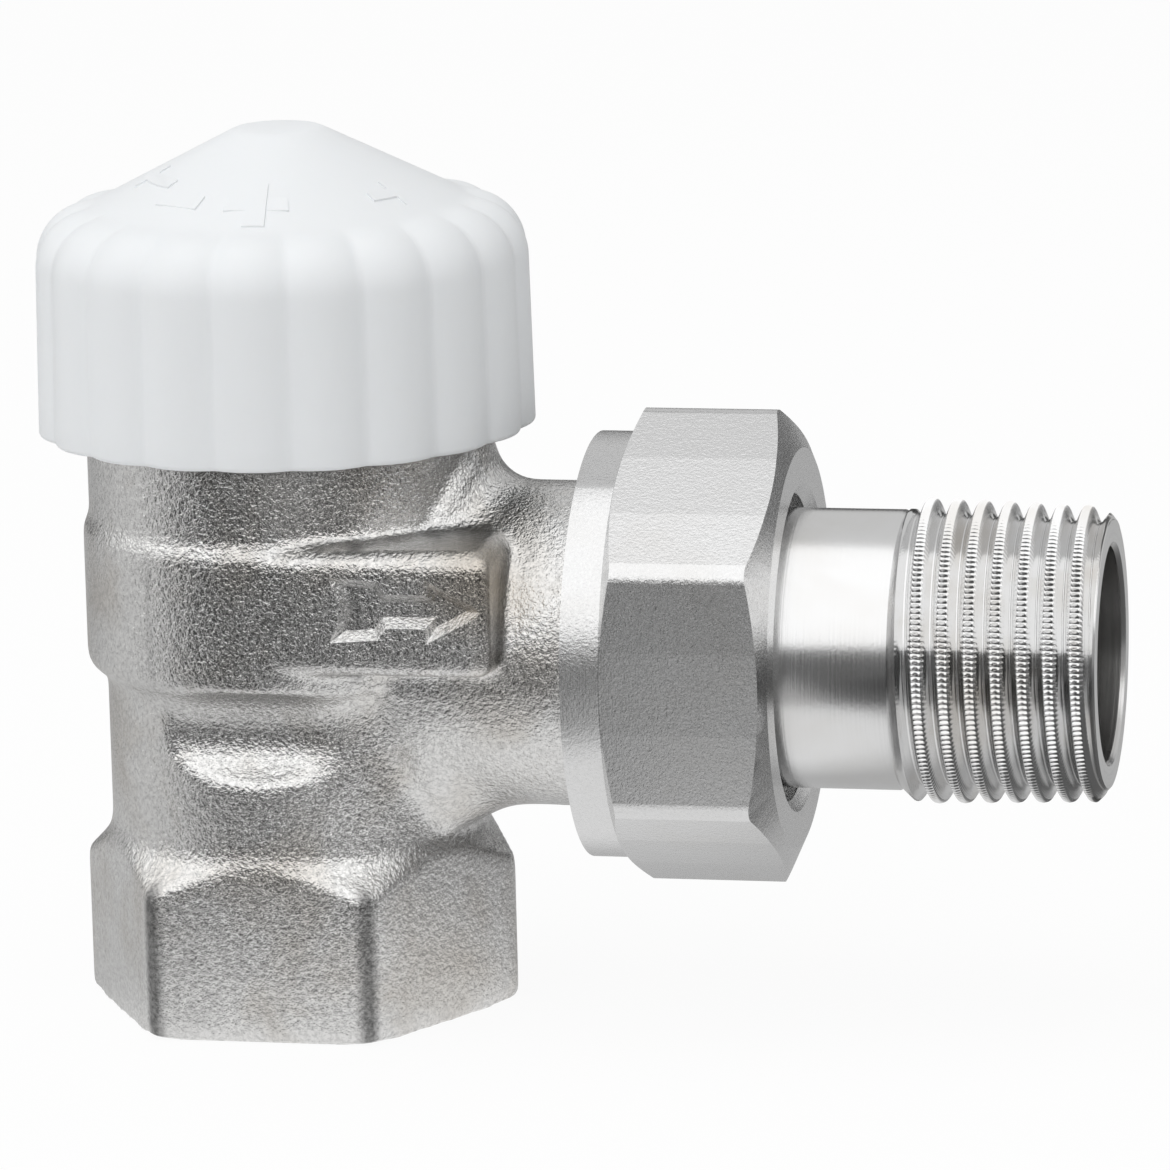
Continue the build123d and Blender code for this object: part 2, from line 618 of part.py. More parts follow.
# Union nut
with BuildPart() as union_nut:
    hex_plane = Plane(origin=(HEX_X, 0, AXIS_H), x_dir=(0, 1, 0), z_dir=(1, 0, 0))
    extrude(hexagon(UNION_FLATS, hex_plane, UNION_EDGE_R, turn=90), amount=NUT_END - HEX_X)
    corner_r = UNION_FLATS / sqrt(3)
    profile = outline(
        [
            (HEX_X, 0),
            (HEX_X, UNION_COLLAR_R),
            (HEX_X + UNION_SLOPE * (corner_r - UNION_COLLAR_R), corner_r),
            (NUT_END - UNION_SLOPE * (corner_r - UNION_FACE_R), corner_r),
            (NUT_END, UNION_FACE_R),
            (NUT_END, 0),
        ],
        OUTLET,
    )
    revolve(profile, axis=OUTLET_AXIS, mode=Mode.INTERSECT)
    profile = outline(
        [(NUT_START, 0), (NUT_START, UNION_COLLAR_R), (HEX_X, UNION_COLLAR_R), (HEX_X, 0)],
        OUTLET,
    )
    revolve(profile, axis=OUTLET_AXIS)
    bore_r = UNION_THREAD_R + RUN_GAP
    profile = outline(
        [
            (NUT_START, 0),
            (NUT_START, bore_r + UNION_MOUTH),
            (NUT_START + UNION_MOUTH, bore_r),
            (LIP_X, bore_r),
            (LIP_X, LIP_R),
            (NUT_END - UNION_LIP_CHAMFER, LIP_R),
            (NUT_END, LIP_R + UNION_LIP_CHAMFER),
            (NUT_END, 0),
        ],
        OUTLET,
    )
    revolve(profile, axis=OUTLET_AXIS, mode=Mode.SUBTRACT)

# Tailpiece with cone nose, retaining flange and taper thread
with BuildPart() as tailpiece:
    nose_x = BRANCH_L - CONE_L + RUN_GAP
    crest_x = TAIL_THREAD_X + TAIL_RUNOUT
    tip_r = TAIL_THREAD_R - TAIL_TAPER * TAIL_THREAD_L
    profile = outline(
        [
            (nose_x, TAIL_BORE_R),
            (nose_x, TAIL_NOSE_R),
            (FLANGE_X, CONE_MOUTH_R),
            (FLANGE_X, UNION_THREAD_R - FLANGE_GAP),
            (FLANGE_END, UNION_THREAD_R - FLANGE_GAP),
            (FLANGE_END, TUBE_R),
            (TAIL_THREAD_X, TUBE_R),
            (crest_x, TAIL_THREAD_R),
            (REACH - TAIL_CHAMFER, tip_r),
            (REACH, tip_r - TAIL_CHAMFER),
            (REACH, TAIL_BORE_R + TAIL_CHAMFER),
            (REACH - TAIL_CHAMFER, TAIL_BORE_R),
        ],
        OUTLET,
    )
    revolve(profile, axis=OUTLET_AXIS)

pieces = {
    "valve_body": valve_body,
    "insert_bonnet": insert_bonnet,
    "bonnet_o_ring": bonnet_o_ring,
    "gland_washer": gland_washer,
    "gland_nut": gland_nut,
    "gland_o_ring": gland_o_ring,
    "pin_o_ring": pin_o_ring,
    "pressure_pin": pressure_pin,
    "spindle": spindle,
    "spring_plate": spring_plate,
    "spindle_clip": spindle_clip,
    "return_spring": return_spring,
    "disc_holder": disc_holder,
    "seat_disc": seat_disc,
    "disc_washer": disc_washer,
    "disc_nut": disc_nut,
    "hand_cap": hand_cap,
    "union_nut": union_nut,
    "tailpiece": tailpiece,
}

os.makedirs("parts", exist_ok=True)
for name, piece in pieces.items():
    piece.part.label = name
    export_step(piece.part, f"parts/{name}.step")
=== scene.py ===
"""Finishes, threads and studio for an angle-pattern radiator valve body with its hand cap."""

import json
from math import atan2, cos, degrees, hypot, pi, radians, sin, sqrt

import bmesh
import bpy
from bpy.props import FloatProperty, FloatVectorProperty, IntProperty, PointerProperty
from bpy.types import Operator, Panel, PropertyGroup
from mathutils import Matrix, Vector


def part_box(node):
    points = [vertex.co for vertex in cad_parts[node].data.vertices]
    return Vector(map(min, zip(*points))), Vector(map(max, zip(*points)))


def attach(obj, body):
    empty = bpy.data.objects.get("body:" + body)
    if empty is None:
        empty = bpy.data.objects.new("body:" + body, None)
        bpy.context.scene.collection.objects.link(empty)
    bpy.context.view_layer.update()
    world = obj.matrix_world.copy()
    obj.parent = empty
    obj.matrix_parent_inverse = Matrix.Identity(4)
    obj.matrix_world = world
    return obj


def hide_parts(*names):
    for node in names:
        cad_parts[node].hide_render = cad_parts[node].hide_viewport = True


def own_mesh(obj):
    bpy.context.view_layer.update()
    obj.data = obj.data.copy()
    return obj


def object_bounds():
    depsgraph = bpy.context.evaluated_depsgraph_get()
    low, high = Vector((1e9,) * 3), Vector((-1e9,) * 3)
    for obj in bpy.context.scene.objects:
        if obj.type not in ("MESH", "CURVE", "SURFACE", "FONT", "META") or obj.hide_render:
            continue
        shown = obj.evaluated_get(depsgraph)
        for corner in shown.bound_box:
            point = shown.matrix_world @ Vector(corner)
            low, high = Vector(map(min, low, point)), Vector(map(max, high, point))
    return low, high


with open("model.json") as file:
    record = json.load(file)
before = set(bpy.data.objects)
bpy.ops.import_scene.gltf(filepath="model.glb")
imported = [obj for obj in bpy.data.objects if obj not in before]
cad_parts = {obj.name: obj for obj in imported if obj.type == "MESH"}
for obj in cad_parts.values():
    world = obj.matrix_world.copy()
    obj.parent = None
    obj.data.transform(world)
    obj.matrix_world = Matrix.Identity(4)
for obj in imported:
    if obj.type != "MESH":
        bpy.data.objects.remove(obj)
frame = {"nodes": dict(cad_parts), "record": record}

bl_info = {
    "name": "Angle radiator valve",
    "version": (1, 0, 0),
    "blender": (4, 5, 0),
    "location": "3D View > Sidebar > Valve",
    "description": "Builds the visible pieces, finishes and studio of an angle radiator valve",
    "category": "Object",
}

MM = 0.001
FULL_TURN = 2 * pi
CAD_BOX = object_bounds()
MOUNTS = {mount["name"]: mount for mount in frame["record"]["mounts"]}
AXIS_H = MOUNTS["tail_bore"]["pos_m"][2]
CAP_LOW, CAP_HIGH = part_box("hand_cap")
NUT_LOW, NUT_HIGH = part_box("union_nut")
TAIL_LOW, TAIL_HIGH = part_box("tailpiece")
SPRING_LOW, SPRING_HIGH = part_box("return_spring")
BRANCH_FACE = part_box("valve_body")[1].x
NUT_FLATS = NUT_HIGH.y - NUT_LOW.y
FLANGE_R = TAIL_HIGH.y
BORE_R = MOUNTS["tail_bore"]["dims"]["r_mm"] * MM
INLET_R = MOUNTS["inlet_thread"]["dims"]["r_mm"] * MM
INLET_L = MOUNTS["inlet_thread"]["dims"]["length_mm"] * MM
OUTLET_CENTRE = Vector((0, 0, AXIS_H))
ALONG = Vector((1, 0, 0))
UP = Vector((0, 0, 1))

# Degrees round the cap from the outlet to its turning marks
PLUS_AT, MINUS_AT = -85.5, -118
LONG_ARROW = (-132, -166)
SHORT_ARROW = (-40, -24)
# Side in metres and place of each lamp
TOP_LAMP = (0.5, (-0.1, -0.1, 0.6))
FRONT_LAMP = (0.4, (-0.25, -0.45, 0.45))
# Colour of the floor, and the share of it that shows plain white
FLOOR_TONE = (0.9, 0.9, 0.9, 1)
FLOOR_WHITE = 0.93
# Height of the reflected table, and softness of the dark front's upper edge as a sine
TABLE_H = 0.2 * MM
BAND_SOFT = 0.03
# Start and end of each change of light in the studio: shares of the tent's radius, then places
TENT_BACK = (-0.26, -0.20)
TENT_FRONT = (0.44, 0.58)
TENT_TOP = (0.2, 0.8)
TENT_NUT = (18 * MM, 30 * MM)
TENT_TAIL = (42 * MM, 50 * MM)
TABLE_LEFT = (6 * MM, 22 * MM)
TABLE_NUT = (17 * MM, 25 * MM)
TABLE_TAIL = (50 * MM, 58 * MM)
TABLE_BACK = (30 * MM, 67.5 * MM)
# Lean of those changes from straight ahead
LEAN, LEFT_LEAN = 0.2, 0.6
# Middle and half sizes in millimetres and turn in degrees of each patch of light on the table
GAP_POOL = ((130, -122), (90, 46), -42)
BESIDE_POOL = ((-26, -12), (38, 38), 0)
UNDER_POOL = ((24, -20), (38, 22), -20)
# Shares of its half sizes over which a patch fades
POOL_EDGE = (0.75, 1.2)


def length(name, description, millimetres):
    """A size in millimetres as a length property."""
    return FloatProperty(name=name, description=description, default=millimetres * MM, unit="LENGTH")


def number(name, description, default):
    """A plain number as a property."""
    return FloatProperty(name=name, description=description, default=default)


def whole(name, description, default):
    """A count as a property."""
    return IntProperty(name=name, description=description, default=default)


def bearing(name, description, turn):
    """An angle in degrees as a rotation property."""
    return FloatProperty(name=name, description=description, default=radians(turn), unit="ROTATION")


def spot(name, description, x, y, z):
    """A place in millimetres as a vector property."""
    place = (x * MM, y * MM, z * MM)
    return FloatVectorProperty(name=name, description=description, default=place, subtype="XYZ")


def colour(name, description, red, green, blue):
    """A surface colour property."""
    return FloatVectorProperty(
        name=name, description=description, default=(red, green, blue), subtype="COLOR", min=0, max=1
    )


class ThreadSettings(PropertyGroup):
    """Pipe threads of the union, the inlet and the tailpiece."""

    pitch: length("Pitch", "Rise of the pipe threads in a turn", 1.8143)
    depth: length("Depth", "Crest to root of the pipe threads", 1.162)
    steps: whole("Steps", "Steps in a turn of a plain thread", 96)
    teeth: whole("Teeth", "Notches round a crest of the tail thread", 168)
    tooth_steps: whole("Tooth steps", "Steps in each of those notches", 3)
    tooth_depth: length("Tooth depth", "Depth of those notches", 0.3)


class BodySettings(PropertyGroup):
    """Forged body with its flow arrow."""

    skin: length("Skin step", "Spacing of the forged skin's mesh", 0.39)
    softness: whole("Softness", "Rounds of smoothing over the forged edges", 7)
    root_x: length("Root start", "Valve axis to the start of the branch root", 3.5)
    root_end: length("Root end", "Valve axis to the end of the branch root", 19.5)
    root_low: length("Root low", "Outlet axis down to the lowest of the branch root", 12.5)
    root_high: length("Root high", "Outlet axis down to the highest of the branch root", 1.5)
    root_softness: whole("Root softness", "Rounds of smoothing there", 30)
    union_r: length("Union thread", "Crest radius of the union thread", 13.2)
    union_l: length("Union thread length", "From the undercut to the face", 8.4)
    mouth: length("Mouth chamfer", "Chamfer of the thread ends", 0.9)
    arrow_x: length("Arrow place", "Tail of the flow arrow from the valve axis", 6.0)
    arrow_z: length("Arrow height", "Middle of the flow arrow above the outlet axis", 5.4)
    arrow_depth: length("Arrow depth", "Depth of the flow arrow in the lug", 0.7)
    arrow_wall: length("Arrow wall", "Slope along the floor of the flow arrow", 0.68)
    lug_y: length("Lug face", "Face of the marking lug from the valve axis", 14.8)
    lug_z: length("Lug top", "Top of the marking lug above the outlet axis", 9.5)
    draft_x: length("Draft start", "Valve axis to the start of the rear lug's draft", 4.0)
    draft_y: length("Draft side", "Valve axis to the side of the rear lug's draft", 10.0)
    draft_l: length("Draft length", "Length of that draft", 16.0)
    draft: number("Draft", "Fall of the rear lug's top along the outlet", 0.15)
    draft_out: number("Outward draft", "Fall of that top outwards", 0.2)


class CapSettings(PropertyGroup):
    """Fluted hand cap."""

    lobes: whole("Lobes", "Lobes of the grip", 20)
    lobe_steps: whole("Lobe steps", "Steps across a lobe", 16)
    lobe_r: length("Lobe radius", "Radius of a lobe at the shoulder", 5.0)
    lobe_turn: bearing("Lobe turn", "First lobe from the outlet", 5)
    draft: number("Draft", "Growth of a lobe towards the rim", 0.017)
    grip_r: length("Grip radius", "Valve axis to the crest of a lobe at the shoulder", 17.3)
    valley: length("Valley", "Softness of the valleys between the lobes", 0.14)
    shoulder_z: length("Shoulder", "Inlet face to the start of the shoulder", 53.2)
    shoulder_r: length("Shoulder radius", "Rounding of the shoulder", 4.0)
    cone_step: length("Cone step", "Foot of the cone inside the shoulder", 0.1)
    fair_r: length("Fairing radius", "Valve axis to the end of the lobes on the cone", 11.6)
    fairing: length("Fairing", "Softness of the lobes' ends on the cone", 0.3)
    tip_r: length("Tip radius", "Flat top of the cone", 3.0)
    edge: length("Edge", "Rounding of the rim and of the tip", 0.4)
    bore_r: length("Bore", "Inside of the cap over the regulator thread", 15.05)
    ledge_z: length("Ledge", "Inlet face to the end of that bore", 53.2)
    ledge_r: length("Ledge radius", "Inside of the cap over the bonnet", 13.4)
    roof: length("Roof", "Thickness of the cone", 2.0)
    boss_r: length("Boss", "Boss that meets the pin", 2.6)
    boss_z: length("Boss face", "Inlet face to the boss", 58.25)
    mark_rise: length("Mark rise", "Height of the turning marks", 0.13)
    mark_width: length("Mark width", "Stroke of the turning marks", 1.3)
    mark_size: length("Mark size", "Length of a stroke", 4.3)
    mark_head: number("Mark head", "Share of an arrow that is its head", 0.3)
    mark_r: length("Mark circle", "Valve axis to the middle of the marks", 10.4)


class NutSettings(PropertyGroup):
    """Union nut."""

    corner_r: length("Corner rounding", "Rounding of the long corners", 1.4)
    roll: length("Roll", "Fall of the drawn bar's flats towards the corners", 0.25)
    collar_r: length("Collar", "Radius of the turned collar", 14.9)
    collar_l: length("Collar length", "Length of the turned collar", 2.7)
    face_r: length("Face radius", "Flat end of the hexagon", 13.95)
    slope: number("Slope", "Rise of the end chamfers for each step of radius", 0.45)
    bore_r: length("Bore", "Inside of the thread", 13.25)
    lip_l: length("Lip", "Length of the lip that holds the tailpiece", 2.3)
    lip_r: length("Lip radius", "Bore of the lip", 10.76)
    lip_chamfer: length("Lip chamfer", "Chamfer of the lip", 0.7)
    mouth: length("Mouth chamfer", "Chamfer of the thread's mouth", 0.6)
    edge: length("Edge", "Broken edges of the turned faces", 0.12)


class TailSettings(PropertyGroup):
    """Tailpiece with its taper thread."""

    tube_r: length("Tube", "Radius of the plain tube", 9.76)
    nose_r: length("Nose", "Small end of the sealing cone", 8.1)
    cone_r: length("Cone", "Large end of the sealing cone", 10.2)
    flange_x: length("Flange", "Valve axis to the flange", 31.05)
    flange_l: length("Flange thickness", "Thickness of the flange", 2.8)
    thread_l: length("Thread length", "Length of the taper thread", 14.4)
    crest_r: length("Crest", "Crest of the thread at its root end", 10.7)
    taper: number("Taper", "Fall of radius along the thread", 1 / 32)
    run_out: number("Run-out", "Rise of the thread at its start", 0.9)
    lead: number("Lead", "Turns in which the thread rises out of the tube", 0.97)
    chamfer: length("Chamfer", "Chamfer of the open end", 0.8)
    edge: length("Edge", "Broken edges of the turned faces", 0.15)


class SpringSettings(PropertyGroup):
    """Opening spring of the insert."""

    wire_r: length("Wire", "Radius of the wire", 0.35)
    turns: number("Turns", "Turns of the spring", 4.5)
    steps: whole("Steps", "Steps in a turn", 40)
    sides: whole("Sides", "Sides of the wire", 10)


class FinishSettings(PropertyGroup):
    """Colours of the finishes."""

    nickel: colour("Nickel", "Bright nickel plating", 0.78, 0.78, 0.78)
    forging: colour("Forging", "Blasted nickel plating", 0.80, 0.795, 0.785)
    # Warm colour with two uses: a random tint of the plating, and painted shade in the forging's
    # crevice where the branch and lugs meet
    tint_and_painted_shade: colour("Stain", "Warm tint of the plating in hollows", 0.47, 0.41, 0.33)
    plastic: colour("Plastic", "White cap", 0.83, 0.85, 0.865)
    brass: colour("Brass", "Turned brass", 0.78, 0.58, 0.28)
    steel: colour("Steel", "Drawn steel", 0.58, 0.58, 0.60)
    rubber: colour("Rubber", "Seals", 0.02, 0.02, 0.02)
    washer: colour("Washer", "Gland washer", 0.80, 0.79, 0.74)
    grain: length("Grain", "Size of the blasted grain", 0.25)
    # Reach of that painted crevice shade
    painted_crevice_shade_r: length("Stain reach", "Reach of the warm tint", 5.5)
    # Reach and place of a dark line of painted shade along the foot's corners
    corner_r: length("Corner reach", "Reach of the dull line along the foot's corners", 1.0)
    corner_at: spot("Corner place", "Corner of the foot", 7.7, 13.35, 0)
    # Middle of that painted crevice shade
    painted_crevice_shade_at: spot("Stain place", "Middle of the warm tint", 16.5, 12.5, 33.5)


class StageSettings(PropertyGroup):
    """Camera and studio."""

    azimuth: bearing("Azimuth", "Camera round the valve", 11.33)
    elevation: bearing("Elevation", "Camera above the horizon", 12.70)
    roll: bearing("Roll", "Camera about its own axis", -1.37)
    distance: length("Distance", "Camera to its aim", 556.5)
    lens: number("Lens", "Focal length in millimetres", 244.97)
    aim_x: length("Aim along", "Camera's aim from the valve axis", 20.99)
    aim_z: length("Aim height", "Camera's aim above the inlet face", 30.15)
    floor: length("Floor", "Half the side of the floor", 3000)
    top_power: number("Top lamp", "Power of the lamp above", 1.4)
    front_power: number("Front lamp", "Power of the lamp in front", 0.4)
    ambient: number("Ambient", "Strength of the surrounding light", 0.6)
    tent_r: length("Tent", "Radius of the reflected tent", 450)
    tent_light: number("Light", "Strength of the tent above the front", 1.28)
    tent_back: number("Back", "Strength of the tent above the back", 0.68)
    tent_left: number("Left", "Strength of the tent at the left", 0.64)
    tent_right: number("Right", "Strength of the tent at the right", 0.36)
    tent_middle: number("Middle", "Strength of the tent ahead of the nut", 0.85)
    tent_dark: number("Front", "Strength of the tent low in front", 0.05)
    band_sine: number("Band", "Sine of the height of the dark front", 0.26)
    table_front: number("Table", "Strength of the table in front", 0.5)
    table_right: number("Right of table", "Strength of the table past the nut", 0.12)
    table_back: number("Back of table", "Strength of the table behind", 0.48)
    gap: number("Gap", "Strength of the table's dark gap at the right", 0.04)
    beside: number("Beside", "Strength of the table beside the foot", 0.6)
    under: number("Under", "Strength of the table under the branch", 0.85)


def new_object(name, data):
    """A new object in the scene."""
    made = bpy.data.objects.new(name, data)
    bpy.context.scene.collection.objects.link(made)
    return made


def bmesh_object(name, bm):
    """A new object at the origin that holds a bmesh."""
    mesh = bpy.data.meshes.new(name)
    bm.to_mesh(mesh)
    bm.free()
    return new_object(name, mesh)


def extrude(bm, faces, shift):
    """Extrude faces of a bmesh by a shift."""
    made = bmesh.ops.extrude_face_region(bm, geom=faces)["geom"]
    moved = [item for item in made if isinstance(item, bmesh.types.BMVert)]
    bmesh.ops.translate(bm, verts=moved, vec=shift)


def bevel(bm, edges, offset, segments):
    """Chamfer or round edges of a bmesh."""
    values = {"affect": "EDGES", "profile": 0.5, "material": -1}
    bmesh.ops.bevel(bm, geom=edges, offset=offset, segments=segments, **values)


def settle(piece):
    """Make the result of the modifiers the object's own mesh."""
    graph = bpy.context.evaluated_depsgraph_get()
    mesh = bpy.data.meshes.new_from_object(piece.evaluated_get(graph))
    piece.modifiers.clear()
    piece.data = mesh
    if not mesh.polygons:
        raise RuntimeError(f"{piece.name} came out empty")


def combine(piece, tool, operation):
    """Cut, join or intersect a piece with a tool, which is used up."""
    modifier = piece.modifiers.new("combine", "BOOLEAN")
    modifier.operation = operation
    modifier.solver = "EXACT"
    modifier.object = tool
    settle(piece)
    bpy.data.objects.remove(tool)


def shade(piece, sharp_angle, flat_area=1.0):
    """Smooth shading, with sharp edges and with faces over an area left flat."""
    piece.data.shade_smooth()
    piece.data.set_sharp_from_angle(angle=radians(sharp_angle))
    for face in piece.data.polygons:
        face.use_smooth = face.area < flat_area


def break_edges(piece, width, sharp_angle):
    """Round the sharp edges of a turned piece a little."""
    modifier = piece.modifiers.new("broken edges", "BEVEL")
    modifier.width = width
    modifier.segments = 2
    modifier.limit_method = "ANGLE"
    modifier.angle_limit = radians(sharp_angle)
    settle(piece)


def coat(piece, material):
    """Give a piece one material."""
    piece.data.materials.clear()
    piece.data.materials.append(material)


def finish_piece(piece, material, body, slot, *nodes):
    """Give a piece its finish and body, and let it stand for its CAD nodes."""
    coat(piece, material)
    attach(piece, body)
    if nodes:
        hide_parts(*nodes)


def chain(bm, points, closed):
    """Vertices joined by edges in order."""
    verts = [bm.verts.new(point) for point in points]
    edges = [bm.edges.new(pair) for pair in zip(verts, verts[1:])]
    if closed:
        edges.append(bm.edges.new((verts[-1], verts[0])))
    return verts + edges


def lathe(places, centre, axis, steps, closed):
    """Shape turned about an axis from a chain of places, with its faces outwards."""
    bm = bmesh.new()
    geom = chain(bm, places, closed)
    bmesh.ops.spin(bm, geom=geom, cent=centre, axis=axis, angle=FULL_TURN, steps=steps, use_merge=True)
    bmesh.ops.remove_doubles(bm, verts=bm.verts, dist=1e-7)
    bmesh.ops.recalc_face_normals(bm, faces=bm.faces)
    return bm


def lathe_up(points, steps=128, closed=True):
    """Solid turned about the valve axis from (radius, height) points."""
    return lathe([(r, 0, z) for r, z in points], (0, 0, 0), UP, steps, closed)


def lathe_along(points, steps=160, closed=True):
    """Solid turned about the outlet axis from (length, radius) points."""
    return lathe([(x, 0, AXIS_H + r) for x, r in points], OUTLET_CENTRE, ALONG, steps, closed)


def arc(centre, radius, start, end, steps):
    """Points on a circular arc between two angles in degrees."""
    angles = [radians(start + (end - start) * i / steps) for i in range(steps + 1)]
    return [(centre[0] + radius * cos(a), centre[1] + radius * sin(a)) for a in angles]


def ridge_section(depth, pitch):
    """Section of a pipe thread's ridge, as (offset along the axis, height above the root)."""
    foot = [(-0.50, -0.25), (-0.49, 0.0), (-0.43, 0.06), (-0.35, 0.24)]
    crest = [(-0.20, 0.78), (-0.13, 0.95), (0.0, 1.0)]
    left = [(x * pitch, h * depth) for x, h in foot + crest]
    return left + [(-x, h) for x, h in reversed(left[:-1])]


def screw_ridge(points, centre, axis, pitch, turns, steps):
    """Thread ridge wound from a closed section about an axis."""
    bm = bmesh.new()
    geom = chain(bm, points, True)
    total = round(turns * steps)
    bmesh.ops.spin(
        bm,
        geom=geom,
        cent=centre,
        axis=axis,
        dvec=axis * (pitch / steps),
        angle=FULL_TURN * total / steps,
        steps=total,
    )
    rims = [edge for edge in bm.edges if edge.is_boundary]
    bmesh.ops.holes_fill(bm, edges=rims)
    bmesh.ops.recalc_face_normals(bm, faces=bm.faces)
    return bm


def split_steps(bm, count, cuts):
    """Split each step of a wound ridge, whose rings have a count of points."""
    bm.verts.index_update()
    steps = [edge for edge in bm.edges if abs(edge.verts[0].index - edge.verts[1].index) == count]
    bmesh.ops.subdivide_edges(bm, edges=steps, cuts=cuts, use_grid_fill=True)


def set_radius_along(vert, radius):
    """Move a vertex to a radius about the outlet axis."""
    y, z = vert.co.y, vert.co.z - AXIS_H
    scale = radius / hypot(y, z)
    vert.co.y = y * scale
    vert.co.z = AXIS_H + z * scale


def group_tree(name, inputs, outputs):
    """Empty shader node group with value sockets."""
    tree = bpy.data.node_groups.new(name, "ShaderNodeTree")
    kind = "NodeSocketFloat"
    for label, default in inputs:
        tree.interface.new_socket(label, in_out="INPUT", socket_type=kind).default_value = default
    for label in outputs:
        tree.interface.new_socket(label, in_out="OUTPUT", socket_type=kind)
    return tree, tree.nodes.new("NodeGroupInput"), tree.nodes.new("NodeGroupOutput")


def add_node(tree, kind, links=None, **values):
    """Node with attribute values, and with sockets that are set or linked."""
    node = tree.nodes.new(kind)
    for name, value in values.items():
        setattr(node, name, value)
    for name, value in (links or {}).items():
        socket = node.inputs[name]
        if isinstance(value, bpy.types.NodeSocket):
            tree.links.new(value, socket)
        else:
            socket.default_value = value
    return node


def maths(tree, operation, first, second=0.0, third=0.0):
    """Result of a Math node."""
    links = {0: first, 1: second, 2: third}
    return add_node(tree, "ShaderNodeMath", links, operation=operation).outputs[0]


def vectors(tree, operation, first, second=(0, 0, 0)):
    """Outputs of a Vector Math node."""
    return add_node(tree, "ShaderNodeVectorMath", {0: first, 1: second}, operation=operation).outputs


def remap(tree, value, low, high, to_low=0.0, to_high=1.0):
    """Value carried from one range to another, held at its ends."""
    links = {"Value": value, "From Min": low, "From Max": high, "To Min": to_low, "To Max": to_high}
    return add_node(tree, "ShaderNodeMapRange", links).outputs["Result"]


def noise(tree, vector, scale, detail, rough, distortion=0.0):
    """Noise value of a vector."""
    links = {"Vector": vector, "Scale": scale, "Detail": detail}
    links.update({"Roughness": rough, "Distortion": distortion})
    return add_node(tree, "ShaderNodeTexNoise", links).outputs["Fac"]


def object_place(tree):
    """Object coordinates."""
    return add_node(tree, "ShaderNodeTexCoord").outputs["Object"]


def blasted_grain():
    """Pitted skin of a blasted or tumbled metal: a height, a tone and its dark pits."""
    tree, source, target = group_tree("blasted_grain", [("Size", 0.0003)], ["Height", "Tone", "Pits"])
    place = object_place(tree)
    scale = maths(tree, "DIVIDE", 1.0, source.outputs["Size"])
    coarse = noise(tree, place, maths(tree, "MULTIPLY", scale, 0.45), 2.0, 0.6, 0.2)
    fine = noise(tree, place, scale, 2.0, 0.6, 0.25)
    height = maths(tree, "MULTIPLY_ADD", fine, 0.65, maths(tree, "MULTIPLY", coarse, 0.5))
    tree.links.new(height, target.inputs["Height"])
    tree.links.new(remap(tree, fine, 0.32, 0.68), target.inputs["Tone"])
    pits = noise(tree, place, maths(tree, "MULTIPLY", scale, 0.8), 3.0, 0.65, 0.3)
    tree.links.new(remap(tree, pits, 0.42, 0.66), target.inputs["Pits"])
    return tree


def turned_lines():
    """Fine tool lines of a piece turned about the outlet axis: a height, a tone and the radius."""
    outputs = ["Height", "Tone", "Radius"]
    tree, source, target = group_tree("turned_lines", [("Spacing", 0.0002)], outputs)
    split = add_node(tree, "ShaderNodeSeparateXYZ", {0: object_place(tree)})
    across = maths(tree, "SUBTRACT", split.outputs["Z"], AXIS_H)
    flat = add_node(tree, "ShaderNodeCombineXYZ", {"X": split.outputs["Y"], "Y": across})
    reach = vectors(tree, "LENGTH", flat.outputs[0])["Value"]
    lines = add_node(tree, "ShaderNodeCombineXYZ", {"X": split.outputs["X"], "Y": reach})
    scale = maths(tree, "DIVIDE", 1.0, source.outputs["Spacing"])
    value = noise(tree, lines.outputs[0], scale, 3.0, 0.7)
    tree.links.new(value, target.inputs["Height"])
    tree.links.new(remap(tree, value, 0.3, 0.7), target.inputs["Tone"])
    tree.links.new(reach, target.inputs["Radius"])
    return tree


def plating_cloud():
    """Slow change of a plated surface from clean to tinted."""
    tree, source, target = group_tree("plating_cloud", [("Size", 0.006), ("Amount", 0.5)], ["Tint"])
    scale = maths(tree, "DIVIDE", 1.0, source.outputs["Size"])
    value = noise(tree, object_place(tree), scale, 3.0, 0.55, 0.4)
    tint = maths(tree, "MULTIPLY", remap(tree, value, 0.45, 0.75), source.outputs["Amount"])
    tree.links.new(tint, target.inputs["Tint"])
    return tree


